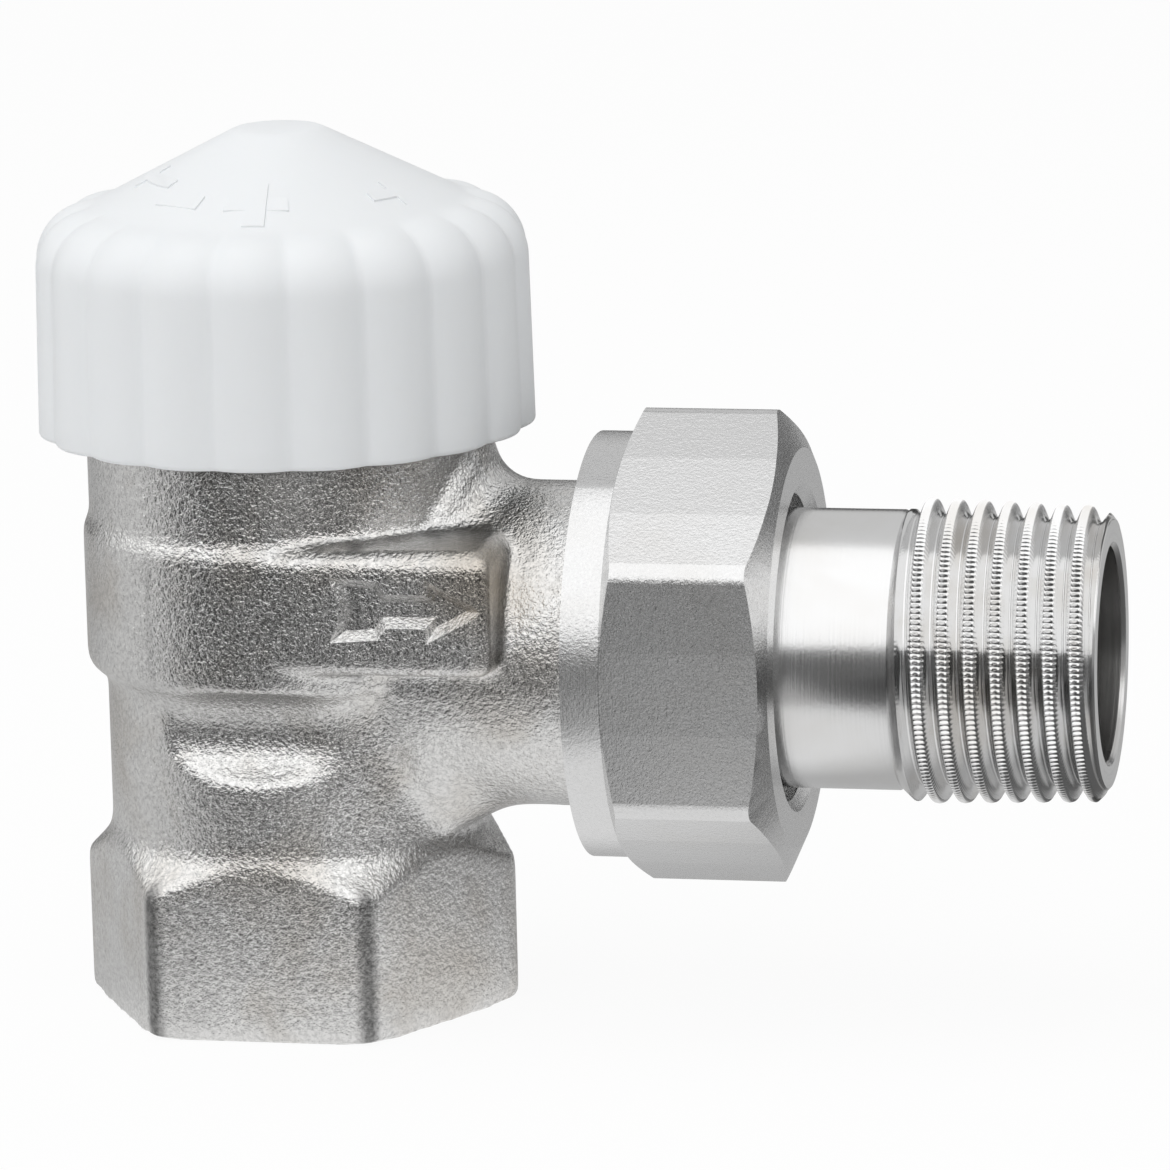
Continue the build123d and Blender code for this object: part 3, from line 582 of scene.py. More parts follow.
class Finishes:
    """Shared node groups and the materials made from them."""

    def __init__(self, colours):
        self.colours = colours
        self.grain = blasted_grain()
        self.lines = turned_lines()
        self.cloud = plating_cloud()

    def new(self, name, metallic, rough):
        """Material with a Principled shader and nothing linked to it yet."""
        material = bpy.data.materials.new(name)
        material.use_nodes = True
        tree = material.node_tree
        shader = tree.nodes["Principled BSDF"]
        shader.inputs["Metallic"].default_value = metallic
        shader.inputs["Roughness"].default_value = rough
        return material, tree, shader

    def group(self, tree, kind, **values):
        """A shared group placed in a material."""
        node = add_node(tree, "ShaderNodeGroup", node_tree=kind)
        for name, value in values.items():
            node.inputs[name].default_value = value
        return node.outputs

    def mix(self, tree, factor, first, second):
        """Two colours mixed by a factor."""
        socket = bpy.types.NodeSocket
        pair = [value if isinstance(value, socket) else (*value, 1) for value in (first, second)]
        links = {0: factor, 6: pair[0], 7: pair[1]}
        return add_node(tree, "ShaderNodeMix", links, data_type="RGBA").outputs[2]

    def paint(self, tree, shader, factor, first, second):
        """Two colours mixed by a factor as the shader's colour."""
        tree.links.new(self.mix(tree, factor, first, second), shader.inputs["Base Color"])

    def rough(self, tree, shader, tone, low, high):
        """Let a tone vary the shader's roughness."""
        tree.links.new(remap(tree, tone, 0.0, 1.0, low, high), shader.inputs["Roughness"])

    def bump(self, tree, shader, height, distance):
        """Bump the shader's normal by a height."""
        links = {"Height": height, "Distance": distance, "Strength": 1.0}
        tree.links.new(add_node(tree, "ShaderNodeBump", links).outputs[0], shader.inputs["Normal"])

    def forging(self):
        """Nickel-plated forging with a blasted skin, a random warm tint, painted warm shade where the
        branch and lugs meet and a painted dark line along the foot's corners.
        """
        material, tree, shader = self.new("plated_forging", 1.0, 0.3)
        grain = self.group(tree, self.grain, Size=self.colours.grain)
        cloud = self.group(tree, self.cloud, Size=0.008, Amount=0.45)
        mirrored = vectors(tree, "ABSOLUTE", object_place(tree))[0]
        # Painted shade: the colour is warmed and darkened near a fixed place in the crevice where the
        # branch and lugs meet, together with the plating's random tint
        away = vectors(tree, "DISTANCE", mirrored, self.colours.painted_crevice_shade_at)["Value"]
        near = remap(tree, away, 0.2 * self.colours.painted_crevice_shade_r, self.colours.painted_crevice_shade_r, 0.9, 0.0)
        tint_and_painted_shade = maths(tree, "MAXIMUM", near, cloud["Tint"])
        base = self.mix(tree, tint_and_painted_shade, self.colours.forging, self.colours.tint_and_painted_shade)
        plan = vectors(tree, "MULTIPLY", mirrored, (1, 1, 0))[0]
        # Painted shade: a dark line along the foot's corners
        aside = vectors(tree, "DISTANCE", plan, self.colours.corner_at)["Value"]
        corner = remap(tree, aside, 0.25 * self.colours.corner_r, self.colours.corner_r, 0.75, 0.0)
        dark = [0.2 * part for part in self.colours.forging]
        # The grain's dark pits and the painted corner shade both darken the colour
        shade_of = maths(tree, "MULTIPLY_ADD", grain["Pits"], 0.28, corner)
        self.paint(tree, shader, shade_of, base, dark)
        self.rough(tree, shader, grain["Tone"], 0.15, 0.27)
        self.bump(tree, shader, grain["Height"], 0.00015)
        return material

    def nut(self):
        """Satin nickel with fine flecks on the flats and tool lines on the collar."""
        material, tree, shader = self.new("plated_nut", 1.0, 0.25)
        grain = self.group(tree, self.grain, Size=0.00017)
        lines = self.group(tree, self.lines, Spacing=0.00012)
        cloud = self.group(tree, self.cloud, Size=0.009, Amount=0.12)
        base = self.mix(tree, cloud["Tint"], self.colours.nickel, self.colours.tint_and_painted_shade)
        dark = [0.8 * part for part in self.colours.nickel]
        self.paint(tree, shader, maths(tree, "MULTIPLY", grain["Tone"], 0.4), base, dark)
        self.rough(tree, shader, grain["Tone"], 0.2, 0.3)
        height = maths(tree, "MULTIPLY_ADD", lines["Height"], 0.25, grain["Height"])
        self.bump(tree, shader, height, 0.000035)
        return material

    def tube(self, name, rough, tint):
        """Turned nickel-plated piece with fine lines round it and painted shade inside its bore."""
        material, tree, shader = self.new(name, 1.0, rough)
        lines = self.group(tree, self.lines, Spacing=0.00016)
        grain = self.group(tree, self.grain, Size=0.0004)
        cloud = self.group(tree, self.cloud, Size=0.007, Amount=tint)
        base = self.mix(tree, cloud["Tint"], self.colours.nickel, self.colours.tint_and_painted_shade)
        # Painted shade: the inside of the bore is mixed towards a dark warm colour
        inside = remap(tree, lines["Radius"], BORE_R + 0.0001, BORE_R + 0.0003, 0.2, 0.0)
        painted_shade = [0.4 * part for part in self.colours.tint_and_painted_shade]
        self.paint(tree, shader, inside, base, painted_shade)
        self.rough(tree, shader, lines["Tone"], rough - 0.05, rough + 0.05)
        height = maths(tree, "MULTIPLY_ADD", grain["Height"], 0.8, lines["Height"])
        self.bump(tree, shader, height, 0.000008)
        return material

    def plastic(self):
        """Matte white moulding with a faint texture."""
        material, tree, shader = self.new("cap_plastic", 0.0, 0.5)
        shader.inputs["Subsurface Weight"].default_value = 0.08
        shader.inputs["Subsurface Radius"].default_value = (0.0012, 0.0011, 0.0010)
        shader.inputs["Subsurface Scale"].default_value = 1.0
        grain = self.group(tree, self.grain, Size=0.0003)
        cloud = self.group(tree, self.cloud, Size=0.012, Amount=0.05)
        grey = [0.9 * part for part in self.colours.plastic]
        self.paint(tree, shader, cloud["Tint"], self.colours.plastic, grey)
        self.rough(tree, shader, grain["Tone"], 0.46, 0.56)
        self.bump(tree, shader, grain["Height"], 0.00001)
        return material

    def turned(self, name, base, spacing, rough):
        """Turned inner piece of one metal."""
        material, tree, shader = self.new(name, 1.0, rough)
        lines = self.group(tree, self.lines, Spacing=spacing)
        cloud = self.group(tree, self.cloud, Size=0.004, Amount=0.3)
        dark = [0.7 * part for part in base]
        self.paint(tree, shader, cloud["Tint"], base, dark)
        self.rough(tree, shader, lines["Tone"], rough - 0.06, rough + 0.08)
        self.bump(tree, shader, lines["Height"], 0.00001)
        return material

    def moulded(self, name, base, rough):
        """Moulded rubber or plastic inner piece."""
        material, tree, shader = self.new(name, 0.0, rough)
        grain = self.group(tree, self.grain, Size=0.0002)
        pale = [min(1.0, 1.6 * part + 0.01) for part in base]
        tone = maths(tree, "MULTIPLY", grain["Tone"], 0.3)
        self.paint(tree, shader, tone, base, pale)
        self.rough(tree, shader, grain["Tone"], rough - 0.05, rough + 0.1)
        self.bump(tree, shader, grain["Height"], 0.00001)
        return material


def flow_arrow(body):
    """Cutter for the flow arrow in the front lug."""
    tail, head, tip = 2.3 * MM, 2.3 * MM, 11.0 * MM
    shaft, notch = 1.2 * MM, 0.9 * MM
    barb, neck = 3.4 * MM, 6.7 * MM
    upper = [(0, tail), (barb, 0.9 * tail), (4.0 * MM, shaft), (neck, shaft), (neck, head), (tip, 0)]
    outline = [(notch, 0)] + upper + [(x, -z) for x, z in reversed(upper[:-1])]
    middle = AXIS_H + body.arrow_z
    bm = bmesh.new()
    floor_y = -body.lug_y + body.arrow_depth
    verts = [bm.verts.new((body.arrow_x + x, floor_y, middle + z)) for x, z in outline]
    floor = bm.faces.new(verts)
    rim = list(floor.edges)
    extrude(bm, [floor], (0, -2 * body.arrow_depth, 0))
    bevel(bm, rim, body.arrow_wall, 1)
    bmesh.ops.recalc_face_normals(bm, faces=bm.faces)
    return bmesh_object("arrow_cutter", bm)


def lug_draft(body):
    """Cutter for the falling top of the rear lug."""
    bm = bmesh.new()
    bmesh.ops.create_cube(bm, size=2)
    for vert in bm.verts:
        x = max(vert.co.x, 0) * body.draft_l
        y = body.draft_y + max(vert.co.y, 0) * body.draft_y
        low = body.lug_z - body.draft * x - body.draft_out * (y - body.lug_y)
        high = body.lug_z + body.draft_l
        vert.co = (body.draft_x + x, y, AXIS_H + (high if vert.co.z > 0 else low))
    return bmesh_object("draft_cutter", bm)


def soften_root(piece, body):
    """Smooth the skin where the branch runs into the neck."""
    bm = bmesh.new()
    bm.from_mesh(piece.data)
    low, high = AXIS_H - body.root_low, AXIS_H - body.root_high
    start, end = body.root_x, body.root_end
    root = [v for v in bm.verts if start < v.co.x < end and low < v.co.z < high]
    axes = {"use_axis_x": True, "use_axis_y": True, "use_axis_z": True}
    for _ in range(body.root_softness):
        bmesh.ops.smooth_vert(bm, verts=root, factor=0.5, **axes)
    bm.to_mesh(piece.data)
    bm.free()


def forged_body(body, threads):
    """Forging with soft edges, a sunk flow arrow and thread roots cut to their depth."""
    bm = bmesh.new()
    bm.from_mesh(frame["nodes"]["valve_body"].data)
    bmesh.ops.remove_doubles(bm, verts=bm.verts, dist=0.002 * MM)
    piece = bmesh_object("forged_body", bm)
    root_r = body.union_r - threads.depth
    start = BRANCH_FACE - body.union_l
    clear = body.mouth
    ring = [
        (start, root_r),
        (BRANCH_FACE + clear, root_r),
        (BRANCH_FACE + clear, body.union_r + clear),
        (start, body.union_r + clear),
    ]
    combine(piece, bmesh_object("union_cutter", lathe_along(ring)), "DIFFERENCE")
    inlet_r = INLET_R + threads.depth
    plug = [(0, -clear), (inlet_r, -clear), (inlet_r, INLET_L + clear), (0, INLET_L + clear)]
    combine(piece, bmesh_object("inlet_cutter", lathe_up(plug, closed=False)), "DIFFERENCE")
    combine(piece, lug_draft(body), "DIFFERENCE")
    remesh = piece.modifiers.new("skin", "REMESH")
    remesh.mode = "VOXEL"
    remesh.voxel_size = body.skin
    smooth = piece.modifiers.new("soft edges", "SMOOTH")
    smooth.factor = 0.5
    smooth.iterations = body.softness
    settle(piece)
    soften_root(piece, body)
    combine(piece, flow_arrow(body), "DIFFERENCE")
    shade(piece, 35)
    return piece


def union_thread(body, threads):
    """Thread ridge on the outlet branch."""
    root_r = body.union_r - threads.depth
    start = BRANCH_FACE - body.union_l
    turns = body.union_l / threads.pitch - 0.5
    section = ridge_section(threads.depth, threads.pitch)
    first = start + threads.pitch / 2
    points = [(first + x, 0, AXIS_H + root_r + h) for x, h in section]
    bm = screw_ridge(points, OUTLET_CENTRE, ALONG, threads.pitch, turns, threads.steps)
    for vert in bm.verts:
        reach = hypot(vert.co.y, vert.co.z - AXIS_H)
        limit = body.union_r - body.mouth + min(vert.co.x - start, BRANCH_FACE - vert.co.x)
        set_radius_along(vert, min(reach, max(limit, root_r - threads.depth / 4)))
        vert.co.x = min(vert.co.x, BRANCH_FACE)
    return bmesh_object("union_thread", bm)


def inlet_thread(body, threads):
    """Thread ridge inside the inlet."""
    root_r = INLET_R + threads.depth
    section = ridge_section(threads.depth, threads.pitch)
    turns = INLET_L / threads.pitch - 0.5
    first = body.mouth + threads.pitch / 2
    points = [(root_r - h, 0, first + x) for x, h in section]
    bm = screw_ridge(points, Vector(), UP, threads.pitch, turns, threads.steps)
    return bmesh_object("inlet_thread", bm)


def smooth_max(first, second, blend):
    """Larger of two values, rounded where they are close."""
    near = max(blend - abs(first - second), 0) / blend
    return max(first, second) + near * near * blend / 4


def lobe_offset(cap, angle):
    """Angle from the middle of the nearest lobe."""
    pitch = FULL_TURN / cap.lobes
    return (angle - cap.lobe_turn + pitch / 2) % pitch - pitch / 2


def grip_radius(cap, angle, height, core):
    """Radius of the lobed grip at an angle and a height."""
    pitch = FULL_TURN / cap.lobes
    centre_r = cap.grip_r - cap.lobe_r
    rise = height - cap.shoulder_z
    lobe = cap.lobe_r
    if rise > 0:
        crown = cap.lobe_r - cap.shoulder_r
        lobe = crown + sqrt(max(cap.shoulder_r**2 - rise**2, 0))
    else:
        lobe -= cap.draft * rise
    offset = lobe_offset(cap, angle)
    reach = core
    for side in (0, -pitch, pitch):
        turn = offset + side
        across = lobe**2 - (centre_r * sin(turn)) ** 2
        if across > 0:
            reach = smooth_max(reach, centre_r * cos(turn) + sqrt(across), cap.valley)
    return reach


def cap_cone(cap, reach):
    """Height of the cone at a radius."""
    foot_r = cap.grip_r - cap.shoulder_r - cap.cone_step
    foot_z = cap.shoulder_z + cap.shoulder_r
    return foot_z + (CAP_HIGH.z - foot_z) * (foot_r - reach) / (foot_r - cap.tip_r)


def cap_top(cap, reach, angle):
    """Height of the lobes and the cone at a radius and an angle."""
    centre_r = cap.grip_r - cap.lobe_r
    along = 2 * reach * centre_r * cos(lobe_offset(cap, angle))
    away = sqrt(reach**2 + centre_r**2 - along)
    past = max(away - cap.lobe_r + cap.shoulder_r, 0)
    lobe = cap.shoulder_z + sqrt(max(cap.shoulder_r**2 - past**2, 0))
    return smooth_max(cap_cone(cap, reach), lobe, cap.fairing)


def cap_outline(cap):
    """Section of the cap: outside from the rim to the tip, then inside back to the rim."""
    rim, top, edge = CAP_LOW.z, CAP_HIGH.z, cap.edge
    grip, shoulder = cap.grip_r, cap.shoulder_z
    crown_r = grip - cap.shoulder_r
    skirt = [(grip, rim + edge + (shoulder - rim - edge) * i / 8) for i in range(8)]
    round_off = arc((crown_r, shoulder), cap.shoulder_r, 0, 50, 10)
    turn_r, turn_z = round_off[-1]
    fair_r, tip_r = cap.fair_r, cap.tip_r
    crown = [(turn_r + (fair_r - turn_r) * i / 12, turn_z + i * MM / 100) for i in range(1, 13)]
    cone_r = [fair_r + (tip_r + edge - fair_r) * i / 10 for i in range(1, 11)]
    outside = (
        arc((grip - edge, rim + edge), edge, -90, -15, 4)
        + skirt
        + round_off
        + crown
        + [(r, cap_cone(cap, r)) for r in cone_r]
        + [(tip_r, top - 0.1 * edge), (tip_r - edge, top), (0, top)]
    )
    roof = cap.roof
    inside = [
        (0, cap.boss_z),
        (cap.boss_r, cap.boss_z),
        (cap.boss_r, cap_cone(cap, cap.boss_r) - roof),
        (cap.ledge_r, cap_cone(cap, cap.ledge_r) - roof),
        (cap.ledge_r, cap.ledge_z + cap.bore_r - cap.ledge_r),
        (cap.bore_r, cap.ledge_z),
        (cap.bore_r, rim + 2 * edge),
        (cap.bore_r + 2 * edge, rim),
    ]
    return outside, inside, turn_r, turn_z


def cap_core(cap, height):
    """Radius of the cap's core between the lobes."""
    centre_r = cap.grip_r - cap.lobe_r
    cone_r = cap.grip_r - cap.shoulder_r - cap.cone_step
    cone_z = cap.shoulder_z + cap.shoulder_r
    share = (height - CAP_LOW.z) / (cone_z - CAP_LOW.z)
    return centre_r + (cone_r - centre_r) * share


def cap_mark(cap, outline):
    """Raised mark on the cone from an outline of (angle in degrees, radius)."""
    bm = bmesh.new()
    sink = Vector((0, 0, -cap.mark_rise))
    points = [(r * cos(radians(a)), r * sin(radians(a)), cap_cone(cap, r)) for a, r in outline]
    face = bm.faces.new([bm.verts.new(Vector(point) + sink) for point in points])
    extrude(bm, [face], -2 * sink)
    bmesh.ops.recalc_face_normals(bm, faces=bm.faces)
    return bmesh_object("mark", bm)


def bar_outline(cap, angle, across, along):
    """Bar on the cone's middle circle, with its size across and along the slope."""
    half = degrees(across / 2 / cap.mark_r)
    low, high = cap.mark_r - along / 2, cap.mark_r + along / 2
    return [(angle - half, low), (angle - half, high), (angle + half, high), (angle + half, low)]


def arrow_outline(cap, start, end, reach):
    """Curved arrow on the cone from a start angle to its tip."""
    half, head = cap.mark_width / 3, cap.mark_width
    neck = end - (end - start) * cap.mark_head
    turns = [start + (neck - start) * i / 6 for i in range(7)]
    outer = [(a, reach + half) for a in turns] + [(neck, reach + head), (end, reach)]
    inner = [(neck, reach - head)] + [(a, reach - half) for a in reversed(turns)]
    return outer + inner


def hand_cap(cap):
    """White cap with a lobed grip, a cone top and raised turning marks."""
    outside, inside, turn_r, turn_z = cap_outline(cap)
    steps = cap.lobes * cap.lobe_steps
    bm = lathe_up(outside + inside, steps, closed=False)
    turn = Matrix.Rotation(cap.lobe_turn, 3, "Z")
    bmesh.ops.rotate(bm, verts=bm.verts, cent=(0, 0, 0), matrix=turn)
    core = cap_core(cap, turn_z)
    for vert in bm.verts:
        reach = hypot(vert.co.x, vert.co.y)
        angle = atan2(vert.co.y, vert.co.x)
        on_crown = vert.co.z > turn_z + MM / 200 and reach > cap.fair_r - MM / 100
        on_shoulder = vert.co.z > cap.shoulder_z and reach > turn_r - MM / 100
        if on_crown:
            share = (turn_r - reach) / (turn_r - cap.fair_r)
            outer = grip_radius(cap, angle, turn_z, core)
            radius = outer + (cap.fair_r - outer) * share
            vert.co.z = cap_top(cap, radius, angle)
        elif on_shoulder or reach > cap.bore_r + 3 * cap.edge:
            here = grip_radius(cap, angle, vert.co.z, cap_core(cap, vert.co.z))
            crest = grip_radius(cap, cap.lobe_turn, vert.co.z, cap_core(cap, vert.co.z))
            full = cap.grip_r if vert.co.z < cap.shoulder_z else crest
            radius = reach + here - full
        else:
            continue
        vert.co.x *= radius / reach
        vert.co.y *= radius / reach
    piece = bmesh_object("cap_shell", bm)
    width, size = cap.mark_width, cap.mark_size
    marks = (
        bar_outline(cap, PLUS_AT, size, width),
        bar_outline(cap, PLUS_AT, width, size),
        bar_outline(cap, MINUS_AT, 0.8 * size, width),
        arrow_outline(cap, *LONG_ARROW, 0.86 * cap.mark_r),
        arrow_outline(cap, *SHORT_ARROW, cap.mark_r),
    )
    for outline in marks:
        combine(piece, cap_mark(cap, outline), "UNION")
    shade(piece, 40)
    return piece


def union_nut(nut):
    """Hexagonal nut with a turned collar, chamfered ends and a lip."""
    start, end = NUT_LOW.x, NUT_HIGH.x
    hex_x = start + nut.collar_l
    corner_r = NUT_FLATS / sqrt(3)
    bm = bmesh.new()
    turn = Matrix.Rotation(pi / 2, 4, "Y") @ Matrix.Rotation(pi / 6, 4, "Z")
    place = Matrix.Translation((hex_x, 0, AXIS_H)) @ turn
    bmesh.ops.create_circle(bm, cap_ends=True, segments=6, radius=corner_r, matrix=place)
    middle_r = (NUT_FLATS / 2 + corner_r) / 2
    bmesh.ops.bisect_edges(bm, edges=bm.edges[:], cuts=2)
    for vert in bm.verts:
        arm = vert.co - place.translation
        if arm.length > middle_r:
            vert.co -= arm.normalized() * nut.roll
    extrude(bm, bm.faces[:], (end - hex_x, 0, 0))
    corners = {v for v in bm.verts if hypot(v.co.y, v.co.z - AXIS_H) > middle_r}
    outer = [edge for edge in bm.edges if corners.issuperset(edge.verts)]
    bevel(bm, outer, nut.corner_r / sqrt(3), 6)
    bmesh.ops.recalc_face_normals(bm, faces=bm.faces)
    piece = bmesh_object("nut_shell", bm)
    envelope = [
        (hex_x, 0),
        (hex_x, nut.collar_r),
        (hex_x + nut.slope * (corner_r - nut.collar_r), corner_r),
        (end - nut.slope * (corner_r - nut.face_r), corner_r),
        (end, nut.face_r),
        (end, 0),
    ]
    combine(piece, bmesh_object("envelope", lathe_along(envelope, closed=False)), "INTERSECT")
    collar_end = hex_x + nut.mouth
    collar = [(start, 0), (start, nut.collar_r), (collar_end, nut.collar_r), (collar_end, 0)]
    combine(piece, bmesh_object("collar", lathe_along(collar, closed=False)), "UNION")
    lip_x = end - nut.lip_l
    bore = [
        (start - nut.mouth, 0),
        (start - nut.mouth, nut.bore_r + 2 * nut.mouth),
        (start + nut.mouth, nut.bore_r),
        (lip_x, nut.bore_r),
        (lip_x, nut.lip_r),
        (end - nut.lip_chamfer, nut.lip_r),
        (end + nut.lip_chamfer, nut.lip_r + 2 * nut.lip_chamfer),
        (end + nut.lip_chamfer, 0),
    ]
    combine(piece, bmesh_object("bore", lathe_along(bore, closed=False)), "DIFFERENCE")
    break_edges(piece, nut.edge, 20)
    shade(piece, 30, nut.corner_r * nut.collar_l)
    return piece


def tail_tube(tail, threads):
    """Turned tailpiece, with its threaded end cut to the root of the thread."""
    nose, end = TAIL_LOW.x, TAIL_HIGH.x
    thread_x = end - tail.thread_l
    root_r = tail.crest_r - threads.depth
    tip_root = root_r - tail.taper * tail.thread_l
    tip_r = tip_root + threads.depth - tail.chamfer
    edge = tail.edge
    flange_end = tail.flange_x + tail.flange_l
    points = [
        (nose, BORE_R),
        (nose, tail.nose_r),
        (tail.flange_x, tail.cone_r),
        (tail.flange_x, FLANGE_R - edge),
        (tail.flange_x + edge, FLANGE_R),
        (flange_end - edge, FLANGE_R),
        (flange_end, FLANGE_R - edge),
        (flange_end, tail.tube_r + edge),
        (flange_end + edge, tail.tube_r),
        (thread_x - edge, tail.tube_r),
        (thread_x + edge, tail.tube_r - edge),
        (thread_x + threads.pitch / 2, root_r),
        (end - 3 * edge, tip_root),
        (end - edge, tip_r),
        (end, tip_r - edge),
        (end, BORE_R + 2 * edge),
        (end - 2 * edge, BORE_R),
    ]
    piece = bmesh_object("tail_tube", lathe_along(points, 192))
    shade(piece, 30)
    return piece


def tail_thread(tail, threads):
    """Taper thread with a notched crest."""
    end = TAIL_HIGH.x
    start = end - tail.thread_l
    root_r = tail.crest_r - threads.depth
    first = start - threads.pitch / 2
    section = ridge_section(threads.depth, threads.pitch)
    points = [(first + x, 0, AXIS_H - root_r - h) for x, h in section]
    turns = tail.thread_l / threads.pitch + tail.lead
    bm = screw_ridge(points, OUTLET_CENTRE, ALONG, threads.pitch, turns, threads.teeth // 2)
    split_steps(bm, len(points), 2 * threads.tooth_steps - 1)
    step = 2 * FULL_TURN / threads.teeth
    crest = tail.crest_r - 0.15 * threads.depth
    tip_r = tail.crest_r - tail.taper * tail.thread_l
    for vert in bm.verts:
        y, z = vert.co.y, vert.co.z - AXIS_H
        angle = atan2(y, z)
        reach = hypot(y, z) * cos(angle % step - step / 2) / cos(step / 2)
        if reach > crest:
            wave = 0.5 - 0.5 * cos(threads.teeth * angle)
            reach -= threads.tooth_depth * wave
        reach -= tail.taper * (vert.co.x - start)
        run_out = root_r + tail.run_out * (vert.co.x - start)
        limit = min(tip_r - tail.chamfer + (end - vert.co.x), run_out)
        vert.co.x = min(vert.co.x, end - MM / 20)
        set_radius_along(vert, min(reach, max(limit, BORE_R + tail.edge)))
    piece = bmesh_object("tail_thread", bm)
    shade(piece, 60)
    return piece


def opening_spring(spring):
    """Coil spring between the bonnet and the spring plate."""
    wire = spring.wire_r
    low, high = SPRING_LOW.z + wire, SPRING_HIGH.z - wire
    middle_r = SPRING_HIGH.y - wire
    pitch = (high - low) / spring.turns
    points = [(middle_r + x, 0, low + z) for x, z in arc((0, 0), wire, 0, 360, spring.sides)[:-1]]
    bm = screw_ridge(points, Vector(), UP, pitch, spring.turns, spring.steps)
    piece = bmesh_object("opening_spring", bm)
    shade(piece, 60)
    return piece


FINISHES = {}


def finishes(context):
    """The materials, made once."""
    if not FINISHES:
        colours = context.scene.valve_finish
        made = Finishes(colours)
        FINISHES.update(
            forging=made.forging(),
            nut=made.nut(),
            tube=made.tube("plated_tube", 0.22, 0.14),
            thread=made.tube("plated_thread", 0.12, 0.35),
            plastic=made.plastic(),
            brass=made.turned("turned_brass", colours.brass, 0.00015, 0.25),
            steel=made.turned("bright_steel", colours.steel, 0.00012, 0.22),
            rubber=made.moulded("seal_rubber", colours.rubber, 0.6),
            washer=made.moulded("washer_plastic", colours.washer, 0.45),
        )
    return FINISHES


class VALVE_OT_body(Operator):
    """Build the forged body and its threads"""

    bl_idname = "valve.body"
    bl_label = "Forged body"

    def execute(self, context):
        body, threads = context.scene.valve_body, context.scene.valve_threads
        material = finishes(context)
        forging = forged_body(body, threads)
        finish_piece(forging, material["forging"], "valve", "plated_forging", "valve_body")
        for piece in (union_thread(body, threads), inlet_thread(body, threads)):
            shade(piece, 60)
            finish_piece(piece, material["thread"], "valve", "plated_forging")
        return {"FINISHED"}


class VALVE_OT_cap(Operator):
    """Build the fluted hand cap"""

    bl_idname = "valve.cap"
    bl_label = "Hand cap"

    def execute(self, context):
        piece = hand_cap(context.scene.valve_cap)
        finish_piece(piece, finishes(context)["plastic"], "cap", "cap_plastic", "hand_cap")
        return {"FINISHED"}


class VALVE_OT_nut(Operator):
    """Build the union nut"""

    bl_idname = "valve.nut"
    bl_label = "Union nut"

    def execute(self, context):
        piece = union_nut(context.scene.valve_nut)
        finish_piece(piece, finishes(context)["nut"], "nut", "plated_nut", "union_nut")
        return {"FINISHED"}


class VALVE_OT_tail(Operator):
    """Build the tailpiece and its taper thread"""

    bl_idname = "valve.tail"
    bl_label = "Tailpiece"

    def execute(self, context):
        tail, threads = context.scene.valve_tail, context.scene.valve_threads
        material = finishes(context)
        finish_piece(tail_tube(tail, threads), material["tube"], "tail", "plated_tube", "tailpiece")
        finish_piece(tail_thread(tail, threads), material["thread"], "tail", "plated_tube")
        return {"FINISHED"}


class VALVE_OT_insert(Operator):
    """Finish the insert's own pieces and build its spring"""

    bl_idname = "valve.insert"
    bl_label = "Valve insert"

    def execute(self, context):
        material = finishes(context)
        for row in frame["record"]["subparts"]:
            node = frame["nodes"][row["node"]]
            kind = row["material_slot"].split("_")[1]
            if kind in material:
                coat(node, material[kind])
        coat(frame["nodes"]["gland_washer"], material["washer"])
        spring = opening_spring(context.scene.valve_spring)
        finish_piece(spring, material["steel"], "valve", "bright_steel", "return_spring")
        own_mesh(spring)
        return {"FINISHED"}


def emitter(name):
    """Plain white emission material."""
    material = bpy.data.materials.new(name)
    material.use_nodes = True
    tree = material.node_tree
    tree.nodes.remove(tree.nodes["Principled BSDF"])
    glow = add_node(tree, "ShaderNodeEmission", {"Color": (1, 1, 1, 1), "Strength": 1.0})
    tree.links.new(glow.outputs[0], tree.nodes["Material Output"].inputs["Surface"])
    return material, tree, glow


def plain_view(tree):
    """One where a ray comes from the camera, or from a mirror or a clear piece."""
    path = add_node(tree, "ShaderNodeLightPath").outputs
    seen = maths(tree, "MAXIMUM", path["Is Camera Ray"], path["Is Glossy Ray"])
    return maths(tree, "MAXIMUM", seen, path["Is Transmission Ray"])


def white_world(stage):
    """World that shows white and lights softly."""
    world = bpy.data.worlds.new("studio")
    world.use_nodes = True
    tree = world.node_tree
    back = tree.nodes["Background"]
    back.inputs["Color"].default_value = (1, 1, 1, 1)
    strength = remap(tree, plain_view(tree), 0.0, 1.0, stage.ambient, 1.0)
    tree.links.new(strength, back.inputs["Strength"])
    bpy.context.scene.world = world


def pale_floor(stage):
    """Pale floor that keeps a soft shadow and shows white."""
    bm = bmesh.new()
    bmesh.ops.create_grid(bm, x_segments=1, y_segments=1, size=stage.floor)
    floor = bmesh_object("floor", bm)
    material, tree, glow = emitter("pale_floor")
    matte = add_node(tree, "ShaderNodeBsdfDiffuse", {"Color": FLOOR_TONE})
    share = maths(tree, "MULTIPLY", plain_view(tree), FLOOR_WHITE)
    both = add_node(tree, "ShaderNodeMixShader", {0: share, 1: matte.outputs[0], 2: glow.outputs[0]})
    tree.links.new(both.outputs[0], tree.nodes["Material Output"].inputs["Surface"])
    coat(floor, material)


def reflected_card(name, points):
    """Round card that only the metal sees, with its material tree and its light left to link."""
    card = bmesh_object(name, lathe_up(points, 64, closed=False))
    material, tree, glow = emitter(name)
    coat(card, material)
    for ray in ("camera", "diffuse", "shadow", "transmission"):
        setattr(card, f"visible_{ray}", False)
    split = add_node(tree, "ShaderNodeSeparateXYZ", {0: object_place(tree)}).outputs
    return tree, glow.inputs["Strength"], split


def blend(tree, factor, first, second):
    """Two values mixed by a factor."""
    return add_node(tree, "ShaderNodeMix", {0: factor, 2: first, 3: second}).outputs[0]


